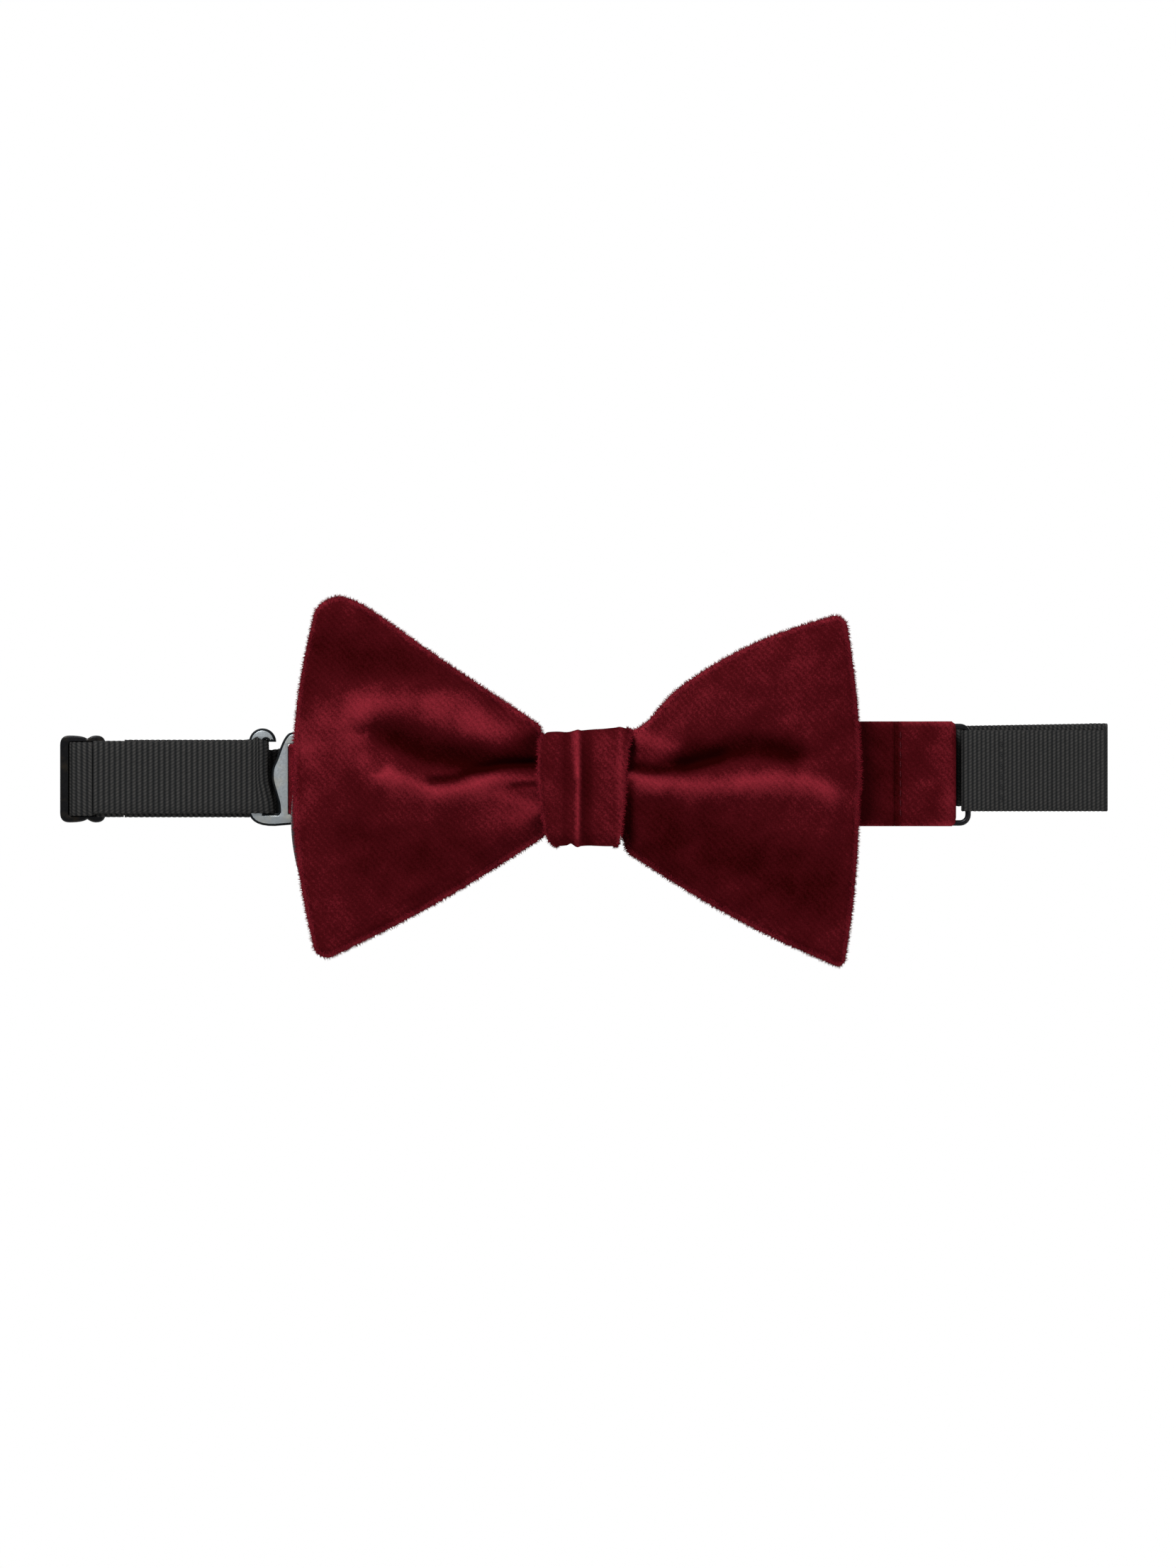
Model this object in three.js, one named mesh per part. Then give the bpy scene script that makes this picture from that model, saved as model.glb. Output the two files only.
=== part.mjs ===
// A pre-tied velvet bow tie on an adjustable ribbon strap, lying with its neck loop closed flat.
// Millimetres. X runs along the strap, +Z is up and the bow's front faces -Y.
// The origin is on the neckband's back face, where the collar holds it.
import * as THREE from 'three';

// ---- Driving sizes ----------------------------------------------------------------------

const gap = 0.3; // between pieces that lie on each other or turn in each other
const threadGap = 0.1; // between a line of stitches and the cloth it lies on

// Neckband: two velvet layers with an interlining, X from the left hem to the right hem
const bandLeftEnd = -61.8;
const bandRightEnd = 79.4;
const bandHeight = 22.2;
const bandKnotTop = 6.1;
const bandKnotBottom = -11.4;
const bandFlareStart = 11.5;
const bandFlareEnd = 25;
const bandVelvet = 1.1;
const bandCore = 2.3; // space between the two velvet layers, which the hems turn round
const bandInterlining = 1.0;
const bandSideGap = 1.2; // the interlining stops short of the edges
const leftHemLength = 15;
const rightHemLength = 10.9;
const hemTaper = 0.6; // the right hem narrows over this length to fit between the ring's rails
const hemTurnIn = 0.85; // and has narrowed this far past its axis

// Ribbon strap
const ribbonWidth = 15.4; // the adjustable left side
const rightRibbonWidth = 17.0; // the fixed right side lies flatter and wider
const ribbonThickness = 0.6;
const leftStrapZ = -1.1;
const rightStrapZ = 0.62;
const rearRunZ = 0.43; // height of the rear run behind the knot
const rearRunSlope = 0.0151; // the rear run lies slightly askew
const rearRunY = 2.9;
const ringHemLength = 8.4; // the end sewn back behind the right stretch
const sewnEndLength = 3.0; // the end sewn back at the slider
const rightStretch = 28.7; // from the ring's bar to the right fold
const leftStretch = 39.5; // from the hook to the slider's far side
const rampLength = 5; // the front stretch comes down off the sewn end over two such lengths
const hemStandOff = 14; // the left rear run starts to rise this far before the left hem
const foldLength = 10; // the rear run closes up to the front over this length at the right fold
const foldOpening = 1.6; // and starts this far behind it

// Ring: bent wire
const ringWire = 1.2;
const ringPlay = 1.1; // room beside the ribbon, at each end of the ring's bars
const ringWidth = 5.95;
const ringZ = -0.2;
const ringCorner = 2.1;

// Hook plate: flat stamping with a hooked finger at the top and a slot for the left hem
const plateThickness = 1.2;
const plateEdge = 0.2; // rounding of the stamped edge
const slotBarWidth = 1.2;
const slotRail = 1.35;
const plateBodyWidth = 2.1;
const hookBarWidth = 4.1;
const throatWidth = 1.7; // between the hook bar and the plate's body
const throatFloor = 1.6;
const fingerRadius = 2.85;
const fingerWidth = 1.3; // at its tip
const fingerEye = 0.8; // radius of the rounding inside the finger
const slotPlay = 0.5; // room beside the hem in its slot
const shoulder = [3.4, 1.8, 5.6]; // where the plate's shoulder starts, rounds and ends
const hookCorner = [5.0, 2.6]; // rounding of the hook bar's low end
const lip = [0.4, 0.6]; // small lip at the foot of the body, where the throat turns in
const bodyWaist = 0.3; // how far the body's left side sways

// Slider: cast frame with two slots
const sliderWidth = 9.3;
const sliderRail = 1.2;
const sliderThickness = 1.2;
const sliderOuterBar = 1.1;
const sliderCentreBar = 1.3;
const sliderLeftSlot = 3.7;
const sliderEdge = 0.25;
const sliderNotch = 0.7; // dip between the frame's two lobes
const sliderCorner = 2.0;
const lobeReach = 0.9; // how soon each lobe levels off beside the notch

// Bow
// Outline of each wing. At each tip: where the outer edge starts to round off (x), the tip's
// height (z), the rounding, the height where the wing comes out of the knot (throat) and how far
// the long edge bows out. The outer edge stands out past its tips by bulge.
const leftEdge = {
  top: { x: 56.1, z: 37.1, round: [5.9, 5.0], throat: 9.4, bow: 1.0 },
  bottom: { x: 56.1, z: -38.6, round: [3.4, 3.1], throat: -13.0, bow: -1.2 },
  bulge: 4.2,
};
const rightEdge = {
  top: { x: 56.0, z: 33.1, round: [2.8, 2.8], throat: 8.7, bow: 3.6 },
  bottom: { x: 55.6, z: -40.4, round: [1.7, 2.2], throat: -15.7, bow: -1.6 },
  bulge: 2.8,
};
const pinchTop = 6.4; // height of the pinched stack inside the knot
const pinchBottom = -12.6;
const pinchHalfGap = 0.8; // the left and the right half stop this far from the middle
const rearLayer = 2.0;
const rearLayerShare = 0.93; // size of the rear layer beside the wing in front of it
const rearLayerPeek = 5.2; // how far the left rear layer's edge stands out halfway up, to show there
const wingBack = 1.2;
const wingInterlining = 1.0;
const interliningShare = 0.95;
const wingEdge = 2.4; // thickness of the wing face at its edges
const wingCrown = 5.2; // how much the wing face swells beyond that
const pinchDepth = 6.9; // thickness of the wing face inside the knot

// How the wings are divided: inside the knot, where they open out of it, and at the tips
const knotShare = 0.2;
const throatShare = 0.05;
const cornerStart = 0.75;

// Knot
const knotLeft = -9.0;
const knotRight = 9.6;
const knotTop = 8.8;
const knotVelvet = 1.2;
const knotInterlining = 0.5;
const knotCorner = 3.4;
const threadWidth = 0.4;
const threadCorner = 0.9;
const sewnEndInset = 1.2;
const ringHemInset = 1.5;
const wireRounding = 0.45;
const crownPower = 0.7;

// Stitches
const stitchLength = 1.6;
const stitchPitch = 2.4;
const stitchWidth = 0.35;

// ---- Places that follow from the sizes --------------------------------------------------

const bandBackY = 0;
const bandMidY = bandBackY - bandVelvet - bandCore / 2;
const bandFrontY = bandMidY - bandCore / 2 - bandVelvet;
const hemRadius = bandCore / 2 + bandVelvet;
const leftHemX = bandLeftEnd + hemRadius;
const rightHemX = bandRightEnd - hemRadius;
const strapTop = leftStrapZ + ribbonWidth / 2;
const strapBottom = leftStrapZ - ribbonWidth / 2;

const ringHeight = rightRibbonWidth + 2 * (ringPlay + ringWire);

// Ribbon loops turn round a bar or a wire with one gap on each side of it.
const loopRadius = plateThickness / 2 + gap + ribbonThickness / 2;
const loopFrontY = bandMidY - loopRadius;
const loopBackY = bandMidY + loopRadius;
const ringBarX = rightHemX + ringWidth - ringWire;
const strapRightEnd = ringBarX + rightStretch;

// The hook plate hangs on the left hem, and the slider stands a stretch of ribbon away from it.
const slotLeft = bandLeftEnd - slotPlay;
const bodyLeft = slotLeft - plateBodyWidth;
const throatX = bodyLeft - throatWidth;
const hookBarLeft = throatX - hookBarWidth;
const sliderLeft = hookBarLeft - leftStretch;

// The front stretch passes over the sewn end at the slider, one ribbon further forward.
const sliderFrontY = loopFrontY - ribbonThickness - gap;
const sliderRearY = loopBackY + ribbonThickness + 2 * gap + 0.1;
const turnY = (sliderFrontY + sliderRearY) / 2;
const turnRadius = (sliderRearY - sliderFrontY) / 2;
const turnX = sliderLeft + sliderOuterBar + 2 * gap + ribbonThickness / 2 + turnRadius;
const sliderRight = sliderLeft + sliderWidth;
const centreBarLeft = sliderLeft + sliderOuterBar + sliderLeftSlot;
const centreBarRight = centreBarLeft + sliderCentreBar;
const sliderBarX = sliderRight - sliderOuterBar / 2;
const sewnEndX = sliderBarX + loopRadius + sewnEndLength;
const loopEndX = hookBarLeft - 2 * gap;

// Bow layers, from the neckband forward
const rearLayerY = bandFrontY - gap;
const wingBackY = rearLayerY - rearLayer - gap;
const wingCoreY = wingBackY - wingBack - gap;
const wingFaceY = wingCoreY - wingInterlining - gap;
const knotWall = knotVelvet + gap + knotInterlining + gap;
const knotFrontY = wingFaceY - pinchDepth - knotWall;
const knotBackY = bandBackY + knotWall;
const knotBottom = pinchBottom - knotWall - gap;
const throatX0 = Math.max(-knotLeft, knotRight) + 3 * gap;

// ---- Materials --------------------------------------------------------------------------

const cloth = (color, roughness) => new THREE.MeshStandardMaterial({ color, roughness, metalness: 0 });
const metal = (color, roughness) => new THREE.MeshStandardMaterial({ color, roughness, metalness: 0.8 });
const velvet = () => cloth('#6e1a24', 0.95);
const lining = () => cloth('#38141c', 0.9);
const interlining = () => cloth('#d8d2c4', 0.95);
const redThread = () => cloth('#5c1720', 0.7);
const blackThread = () => cloth('#2e2f31', 0.7);
const grosgrain = () => cloth('#262728', 0.8);

// ---- Shape helpers ----------------------------------------------------------------------

const model = new THREE.Group();

/** Adds one named piece to the model. */
function add(name, geometry, material) {
  const mesh = new THREE.Mesh(geometry, material);
  mesh.name = name;
  model.add(mesh);
  return mesh;
}

/** A flat plate drawn in X and Z, with its back face at backY and its thickness towards -Y. */
function plate(shape, backY, thickness, edge = 0) {
  const geometry = new THREE.ExtrudeGeometry(shape, {
    depth: thickness - 2 * edge,
    bevelEnabled: edge > 0,
    bevelThickness: edge,
    bevelSize: edge,
    bevelOffset: -edge,
    bevelSegments: 2,
    curveSegments: 8,
  });
  geometry.rotateX(Math.PI / 2);
  geometry.translate(0, backY - edge, 0);
  return geometry;
}

/** A closed outline through a list of [x, z] corners. */
function outline(corners) {
  return new THREE.Shape(corners.map(([x, z]) => new THREE.Vector2(x, z)));
}

/** A strip of cloth or ribbon standing on edge: its centre line is drawn in X and Y. */
function strip(line, thickness, bottom, height) {
  const points = line.getPoints ? line.getPoints() : line;
  const sides = [[], []];
  points.forEach((point, i) => {
    const before = points[Math.max(i - 1, 0)];
    const after = points[Math.min(i + 1, points.length - 1)];
    const along = after.clone().sub(before).normalize();
    const across = new THREE.Vector2(-along.y, along.x).multiplyScalar(thickness / 2);
    sides[0].push(point.clone().add(across));
    sides[1].unshift(point.clone().sub(across));
  });
  const shape = new THREE.Shape(sides[0].concat(sides[1]));
  const geometry = new THREE.ExtrudeGeometry(shape, { depth: height, bevelEnabled: false });
  geometry.translate(0, 0, bottom);
  return geometry;
}

/** Points of a half turn about (x, y), from one angle to another in degrees. */
function turn(x, y, radius, from, to, steps = 10) {
  return Array.from({ length: steps + 1 }, (_, i) => {
    const angle = THREE.MathUtils.degToRad(from + ((to - from) * i) / steps);
    return new THREE.Vector2(x + radius * Math.cos(angle), y + radius * Math.sin(angle));
  });
}

const at = (x, y) => new THREE.Vector2(x, y);

/** Tilts a strip of the rear run, which lies slightly askew. */
function askew(geometry) {
  const place = geometry.getAttribute('position');
  for (let i = 0; i < place.count; i += 1) {
    place.setZ(i, place.getZ(i) + rearRunZ + rearRunSlope * place.getX(i));
  }
  return geometry;
}

/** A closed slab between a front and a back surface, both functions of (u, v) in 0..1. */
function slab(columns, rows, front, back) {
  const points = [];
  const index = (side, i, j) => side * (columns + 1) * (rows + 1) + i * (rows + 1) + j;
  [front, back].forEach((surface) => {
    for (let i = 0; i <= columns; i += 1) {
      for (let j = 0; j <= rows; j += 1) {
        points.push(...surface(i / columns, j / rows));
      }
    }
  });
  const faces = [];
  const quad = (a, b, c, d) => faces.push(a, b, c, a, c, d);
  for (let i = 0; i < columns; i += 1) {
    for (let j = 0; j < rows; j += 1) {
      quad(index(0, i, j), index(0, i + 1, j), index(0, i + 1, j + 1), index(0, i, j + 1));
      quad(index(1, i, j + 1), index(1, i + 1, j + 1), index(1, i + 1, j), index(1, i, j));
    }
    quad(index(1, i, 0), index(1, i + 1, 0), index(0, i + 1, 0), index(0, i, 0));
    quad(index(0, i, rows), index(0, i + 1, rows), index(1, i + 1, rows), index(1, i, rows));
  }
  for (let j = 0; j < rows; j += 1) {
    quad(index(0, 0, j), index(0, 0, j + 1), index(1, 0, j + 1), index(1, 0, j));
    quad(index(1, columns, j), index(1, columns, j + 1), index(0, columns, j + 1), index(0, columns, j));
  }
  const geometry = new THREE.BufferGeometry();
  geometry.setAttribute('position', new THREE.Float32BufferAttribute(points, 3));
  geometry.setIndex(faces);
  return geometry;
}

/** Turns every face of a geometry over. */
function flipped(geometry) {
  const order = geometry.getIndex();
  for (let i = 0; i < order.count; i += 3) {
    const first = order.getX(i);
    order.setX(i, order.getX(i + 2));
    order.setX(i + 2, first);
  }
  return geometry;
}

/** A line of stitches along Z on a thread that joins them, as one body. */
function stitchLine(x, [y0, y1], bottom, height) {
  const count = Math.floor(height / stitchPitch);
  const start = bottom + (height - (count - 1) * stitchPitch) / 2;
  const half = stitchWidth / 2;
  const right = [];
  const left = [];
  for (let i = 0; i < count; i += 1) {
    const z = start + i * stitchPitch;
    const low = z - stitchLength / 2;
    const high = z + stitchLength / 2;
    right.push([x + half / 2, low], [x + half, low + half], [x + half, high - half], [x + half / 2, high]);
    left.unshift([x - half / 2, high], [x - half, high - half], [x - half, low + half], [x - half / 2, low]);
  }
  return plate(outline(right.concat(left)), y1, y1 - y0);
}

// ---- Neckband ---------------------------------------------------------------------------

/** The band's outline between two X values, shrunk by inset on its long edges. */
function bandOutline(x0, x1, inset = 0) {
  const half = bandHeight / 2 - inset;
  const top = bandKnotTop - inset;
  const bottom = bandKnotBottom + inset;
  const hemTop = strapTop - gap - inset;
  const hemBottom = strapBottom + gap + inset;
  const taperX = bandLeftEnd + leftHemLength + hemRadius;
  const upper = [[bandLeftEnd, hemTop], [taperX, top], [bandFlareStart, top], [bandFlareEnd, half]];
  const lower = [
    [bandLeftEnd, hemBottom], [taperX, bottom],
    [bandFlareStart, bottom], [bandFlareEnd, -half],
  ];
  const edge = (points, x) => {
    const next = points.findIndex((point) => point[0] > x);
    if (next < 0) {
      return points[points.length - 1][1];
    }
    const before = Math.max(next - 1, 0);
    const [xa, za] = points[before];
    const [xb, zb] = points[Math.max(next, before + 1)];
    return za + ((zb - za) * (x - xa)) / (xb - xa);
  };
  const between = (points) => points.filter(([x]) => x > x0 && x < x1);
  return outline([
    [x0, edge(lower, x0)],
    ...between(lower),
    [x1, edge(lower, x1)],
    [x1, edge(upper, x1)],
    ...between(upper).reverse(),
    [x0, edge(upper, x0)],
  ]);
}

/** A hem: a flap on the front that turns round a bar and meets the back layer. */
function hem(x, side, length, middle, turnHeight, height) {
  const radius = (bandCore + bandVelvet) / 2;
  const from = side < 0 ? 270 : -90;
  const line = [
    at(x - side * length, bandMidY - radius),
    ...turn(x, bandMidY, radius, from, 90),
  ];
  const geometry = strip(line, bandVelvet, -height / 2, height);
  const place = geometry.getAttribute('position');
  for (let i = 0; i < place.count; i += 1) {
    const past = side * (place.getX(i) - x);
    const narrowed = Math.min(Math.max((past - hemTurnIn) / hemTaper + 1, 0), 1);
    const scale = THREE.MathUtils.lerp(1, turnHeight / height, narrowed);
    place.setZ(i, middle + place.getZ(i) * scale);
  }
  return geometry;
}

function buildNeckband() {
  const leftFlapX = leftHemX + leftHemLength;
  const rightFlapX = rightHemX - rightHemLength;
  const frontY = bandFrontY + bandVelvet;
  const coreY = bandMidY + bandInterlining / 2;
  const hemHeight = ribbonWidth - 2 * gap;
  const ringHemHeight = ringHeight - 2 * (ringCorner + gap + Math.abs(ringZ));
  const coreStart = leftHemX + slotBarWidth;
  const coreEnd = rightHemX - ringWire - gap;
  add('band_face', plate(bandOutline(leftFlapX + gap, rightFlapX - gap), frontY, bandVelvet), velvet());
  add(
    'band_interlining',
    plate(bandOutline(coreStart + gap, coreEnd, bandSideGap), coreY, bandInterlining),
    interlining(),
  );
  add('band_back', plate(bandOutline(leftHemX + gap, rightHemX - gap), bandBackY, bandVelvet), velvet());
  add('band_left_hem', hem(leftHemX, -1, leftHemLength, leftStrapZ, hemHeight, hemHeight), velvet());
  add('band_right_hem', hem(rightHemX, 1, rightHemLength, 0, ringHemHeight, bandHeight), velvet());
  const stitchY = [bandFrontY - threadGap - stitchWidth / 2, bandFrontY - threadGap];
  const leftStitchX = leftFlapX - stitchPitch;
  const rightStitchX = rightFlapX + stitchPitch / 2;
  add('left_hem_stitches', stitchLine(leftStitchX, stitchY, strapBottom + 1, ribbonWidth - 2), redThread());
  add(
    'right_hem_stitches',
    stitchLine(rightStitchX, stitchY, 1 - bandHeight / 2, bandHeight - 2),
    redThread(),
  );
}

// ---- Hardware ---------------------------------------------------------------------------

function buildHookPlate() {
  const slotBarX = leftHemX - slotBarWidth / 2;
  const top = strapTop + slotRail + gap / 2;
  const bottom = strapBottom - gap - throatFloor;
  const right = slotBarX + slotBarWidth;
  const fingerZ = strapTop + gap;
  const fingerX = hookBarLeft + fingerRadius;
  const tipLeft = fingerX + fingerRadius - fingerWidth;
  const foot = strapBottom - gap;
  const shape = new THREE.Shape();
  shape.moveTo(fingerX + fingerRadius, fingerZ);
  shape.absarc(fingerX, fingerZ, fingerRadius, 0, Math.PI, false);
  shape.lineTo(hookBarLeft, bottom + hookCorner[1]);
  shape.quadraticCurveTo(hookBarLeft, bottom, hookBarLeft + hookCorner[0], bottom);
  shape.lineTo(right, bottom);
  shape.lineTo(right, top);
  shape.lineTo(bodyLeft + shoulder[0], top);
  shape.quadraticCurveTo(bodyLeft + shoulder[1], top, bodyLeft + shoulder[1] - gap, top - shoulder[1]);
  shape.lineTo(bodyLeft, top - shoulder[2]);
  shape.quadraticCurveTo(bodyLeft, (foot + leftStrapZ) / 2, bodyLeft + bodyWaist, foot + lip[1]);
  shape.lineTo(bodyLeft - lip[0], foot);
  shape.lineTo(throatX, foot);
  shape.lineTo(throatX, fingerZ - 2 * fingerEye);
  shape.lineTo(tipLeft - 2 * fingerEye, fingerZ);
  shape.absarc(tipLeft - fingerEye, fingerZ, fingerEye, Math.PI, 0, true);
  const slot = new THREE.Path();
  slot.moveTo(slotLeft, strapBottom);
  slot.lineTo(slotLeft, strapTop);
  slot.lineTo(slotBarX, strapTop);
  slot.lineTo(slotBarX, strapBottom);
  slot.closePath();
  shape.holes.push(slot);
  const backY = bandMidY + plateThickness / 2;
  add('hook_plate', plate(shape, backY, plateThickness, plateEdge), metal('#5d6265', 0.35));
}

function buildRing() {
  const half = ringWire / 2;
  const roundedFrame = (x0, x1, z0, z1, corner, path) => {
    path.moveTo(x0 + corner, z0);
    path.lineTo(x1 - corner, z0);
    path.absarc(x1 - corner, z0 + corner, corner, -Math.PI / 2, 0, false);
    path.lineTo(x1, z1 - corner);
    path.absarc(x1 - corner, z1 - corner, corner, 0, Math.PI / 2, false);
    path.lineTo(x0 + corner, z1);
    path.absarc(x0 + corner, z1 - corner, corner, Math.PI / 2, Math.PI, false);
    path.lineTo(x0, z0 + corner);
    path.absarc(x0 + corner, z0 + corner, corner, Math.PI, 1.5 * Math.PI, false);
    return path;
  };
  const left = rightHemX - half;
  const right = ringBarX + half;
  const low = ringZ - ringHeight / 2;
  const high = ringZ + ringHeight / 2;
  const shape = roundedFrame(left, right, low, high, ringCorner, new THREE.Shape());
  const hole = new THREE.Path();
  const innerCorner = ringCorner - ringWire;
  roundedFrame(left + ringWire, right - ringWire, low + ringWire, high - ringWire, innerCorner, hole);
  shape.holes.push(hole);
  const rounding = wireRounding * ringWire;
  add('ring', plate(shape, bandMidY + half, ringWire, rounding), metal('#1c1d1f', 0.4));
}

function buildSlider() {
  const low = strapBottom - gap - sliderRail;
  const high = strapTop + gap + sliderRail;
  const waist = (centreBarLeft + centreBarRight) / 2;
  const shape = new THREE.Shape();
  shape.moveTo(sliderLeft, low + sliderCorner);
  shape.quadraticCurveTo(sliderLeft, low, sliderLeft + sliderCorner, low);
  shape.quadraticCurveTo(waist - lobeReach, low, waist, low + sliderNotch);
  shape.quadraticCurveTo(waist + lobeReach, low, sliderRight - sliderCorner, low);
  shape.quadraticCurveTo(sliderRight, low, sliderRight, low + sliderCorner);
  shape.lineTo(sliderRight, high - sliderCorner);
  shape.quadraticCurveTo(sliderRight, high, sliderRight - sliderCorner, high);
  shape.quadraticCurveTo(waist + lobeReach, high, waist, high - sliderNotch);
  shape.quadraticCurveTo(waist - lobeReach, high, sliderLeft + sliderCorner, high);
  shape.quadraticCurveTo(sliderLeft, high, sliderLeft, high - sliderCorner);
  const leftSlot = [sliderLeft + sliderOuterBar, centreBarLeft];
  const rightSlot = [centreBarRight, sliderRight - sliderOuterBar];
  const slots = [leftSlot, rightSlot];
  slots.forEach(([x0, x1]) => {
    const slot = new THREE.Path();
    slot.moveTo(x0, strapBottom - gap);
    slot.lineTo(x0, strapTop + gap);
    slot.lineTo(x1, strapTop + gap);
    slot.lineTo(x1, strapBottom - gap);
    slot.closePath();
    shape.holes.push(slot);
  });
  const backY = bandMidY + sliderThickness / 2;
  add('slider', plate(shape, backY, sliderThickness, sliderEdge), metal('#232425', 0.4));
}

// ---- Ribbon strap -----------------------------------------------------------------------

function buildLeftStrap() {
  const bottom = strapBottom;
  const hookX = throatX - gap / 3;
  const front = [
    at(turnX, sliderFrontY),
    at(sewnEndX + gap, sliderFrontY),
    at(sewnEndX + rampLength, (sliderFrontY + loopFrontY) / 2 - gap / 2),
    at(sewnEndX + 2 * rampLength, loopFrontY),
    ...turn(hookX, bandMidY, loopRadius, -90, 90),
    at(loopEndX, loopBackY),
  ];
  add('ribbon_left_front', strip(front, ribbonThickness, bottom, ribbonWidth), grosgrain());
  const middle = [at(loopEndX - gap, loopBackY), at(sewnEndX + gap, loopBackY)];
  add('ribbon_left_middle', strip(middle, ribbonThickness, bottom, ribbonWidth), grosgrain());
}

function buildSliderRibbon() {
  const sewn = [
    at(sewnEndX, loopFrontY),
    ...turn(sliderBarX, bandMidY, loopRadius, 270, 90),
    at(sewnEndX, loopBackY),
  ];
  add('ribbon_sewn_end', strip(sewn, ribbonThickness, strapBottom, ribbonWidth), grosgrain());
  const backY = loopBackY + ribbonThickness / 2;
  const stitchY = [backY + threadGap, backY + threadGap + stitchWidth / 2];
  const stitchX = sewnEndX - sewnEndInset;
  add('sewn_end_stitches', stitchLine(stitchX, stitchY, strapBottom + 1, ribbonWidth - 2), blackThread());
  const arc = turn(turnX - gap, turnY, turnRadius, 270, 90, 12);
  add('ribbon_slider_turn', strip(arc, ribbonThickness, strapBottom, ribbonWidth), grosgrain());
}

function buildRearRun() {
  const left = [
    at(turnX, sliderRearY),
    at(sewnEndX + rampLength, sliderRearY + gap / 2),
    at(leftHemX - hemStandOff, sliderRearY + 2 * gap),
    at(leftHemX - hemStandOff / 4, rearRunY - 2 * gap),
    at(leftHemX + hemStandOff / 2, rearRunY),
    at(-gap / 2, rearRunY),
  ];
  add('ribbon_rear_left', askew(strip(left, ribbonThickness, -ribbonWidth / 2, ribbonWidth)), grosgrain());
  const foldY = loopFrontY + ribbonThickness + gap;
  const right = [
    at(gap / 2, rearRunY),
    at(bandRightEnd, rearRunY),
    at(ringBarX + ringHemLength, (rearRunY + foldY + foldOpening) / 2 + 2 * gap),
    at(strapRightEnd - foldLength, foldY + foldOpening),
    at(strapRightEnd - foldLength / 2, foldY + gap),
    at(strapRightEnd, foldY),
  ];
  const low = -rightRibbonWidth / 2;
  add('ribbon_rear_right', askew(strip(right, ribbonThickness, low, rightRibbonWidth)), grosgrain());
}

function buildRightStrap() {
  const bottom = rightStrapZ - rightRibbonWidth / 2;
  const line = [
    at(strapRightEnd, loopFrontY),
    ...turn(ringBarX, bandMidY, loopRadius, 270, 90),
    at(ringBarX + ringHemLength, loopBackY),
  ];
  add('ribbon_right_front', strip(line, ribbonThickness, bottom, rightRibbonWidth), grosgrain());
  const frontY = loopFrontY - ribbonThickness / 2;
  const stitchY = [frontY - threadGap - stitchWidth / 2, frontY - threadGap];
  const stitchX = ringBarX + ringHemLength - ringHemInset;
  add('ring_loop_stitches', stitchLine(stitchX, stitchY, bottom + 1, rightRibbonWidth - 2), blackThread());
}

// ---- Bow --------------------------------------------------------------------------------

/** X (away from the knot) and Z of a wing's outer edge: level runs from -1 at the low tip to 1. */
function edgePlace(edge, level) {
  const end = level < 0 ? edge.bottom : edge.top;
  const way = Math.sign(level);
  const [roundX, roundZ] = end.round;
  const along = Math.min(Math.abs(level) / cornerStart, 1);
  const angle = Math.max((Math.abs(level) - cornerStart) / (1 - cornerStart), 0) * (Math.PI / 2);
  const middle = (edge.top.z + edge.bottom.z) / 2;
  const shoulder = end.z - way * roundZ;
  const x = end.x + edge.bulge * (1 - along ** 2) - roundX * (1 - Math.cos(angle));
  const z = THREE.MathUtils.lerp(middle, shoulder, along) + way * roundZ * Math.sin(angle);
  return [x, z];
}

/** X and Z of a point on a wing: u runs from the knot's middle outwards, v from low to high. */
function wingPlace(edge, side, share = 1, peek = 0) {
  const middle = (edge.top.z + edge.bottom.z) / 2;
  return (u, v) => {
    const inKnot = Math.min(u / knotShare, 1);
    const out = Math.max((u - knotShare) / (1 - knotShare), 0);
    const innerX = THREE.MathUtils.lerp(pinchHalfGap, throatX0, inKnot);
    const open = THREE.MathUtils.smoothstep(out, 0, throatShare);
    const low = THREE.MathUtils.lerp(pinchBottom, edge.bottom.throat, open);
    const high = THREE.MathUtils.lerp(pinchTop, edge.top.throat, open);
    const innerZ = THREE.MathUtils.lerp(low, high, v);
    const [edgeX, edgeZ] = edgePlace(edge, 2 * v - 1);
    const reach = edgeX * share + peek * Math.sin(Math.PI * v) ** 2;
    const x = THREE.MathUtils.lerp(innerX, reach, out);
    const straight = THREE.MathUtils.lerp(innerZ, middle + (edgeZ - middle) * share, out);
    const bow = THREE.MathUtils.lerp(edge.bottom.bow, edge.top.bow, v) * Math.sin(Math.PI * out);
    return [side * x, straight + bow];
  };
}

/** A layer of one wing: a flat back and a front set by a thickness function. */
function wingLayer(place, side, backY, thickness, [columns, rows] = [10, 8]) {
  const surface = (depth) => (u, v) => {
    const [x, z] = place(u, v);
    return [x, backY - depth(u, v), z];
  };
  const geometry = slab(columns, rows, surface(thickness), surface(() => 0));
  return side < 0 ? flipped(geometry) : geometry;
}

/** Thickness of the velvet face: deep where the knot pinches it, crowned in the middle. */
function faceThickness(u, v) {
  const crown = Math.sin(Math.PI * v) ** crownPower;
  const outer = wingEdge + wingCrown * crown * (1 - u ** 3);
  const pinched = 1 - THREE.MathUtils.smoothstep(u, knotShare, 2 * knotShare);
  return THREE.MathUtils.lerp(outer, pinchDepth - gap, pinched);
}

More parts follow.
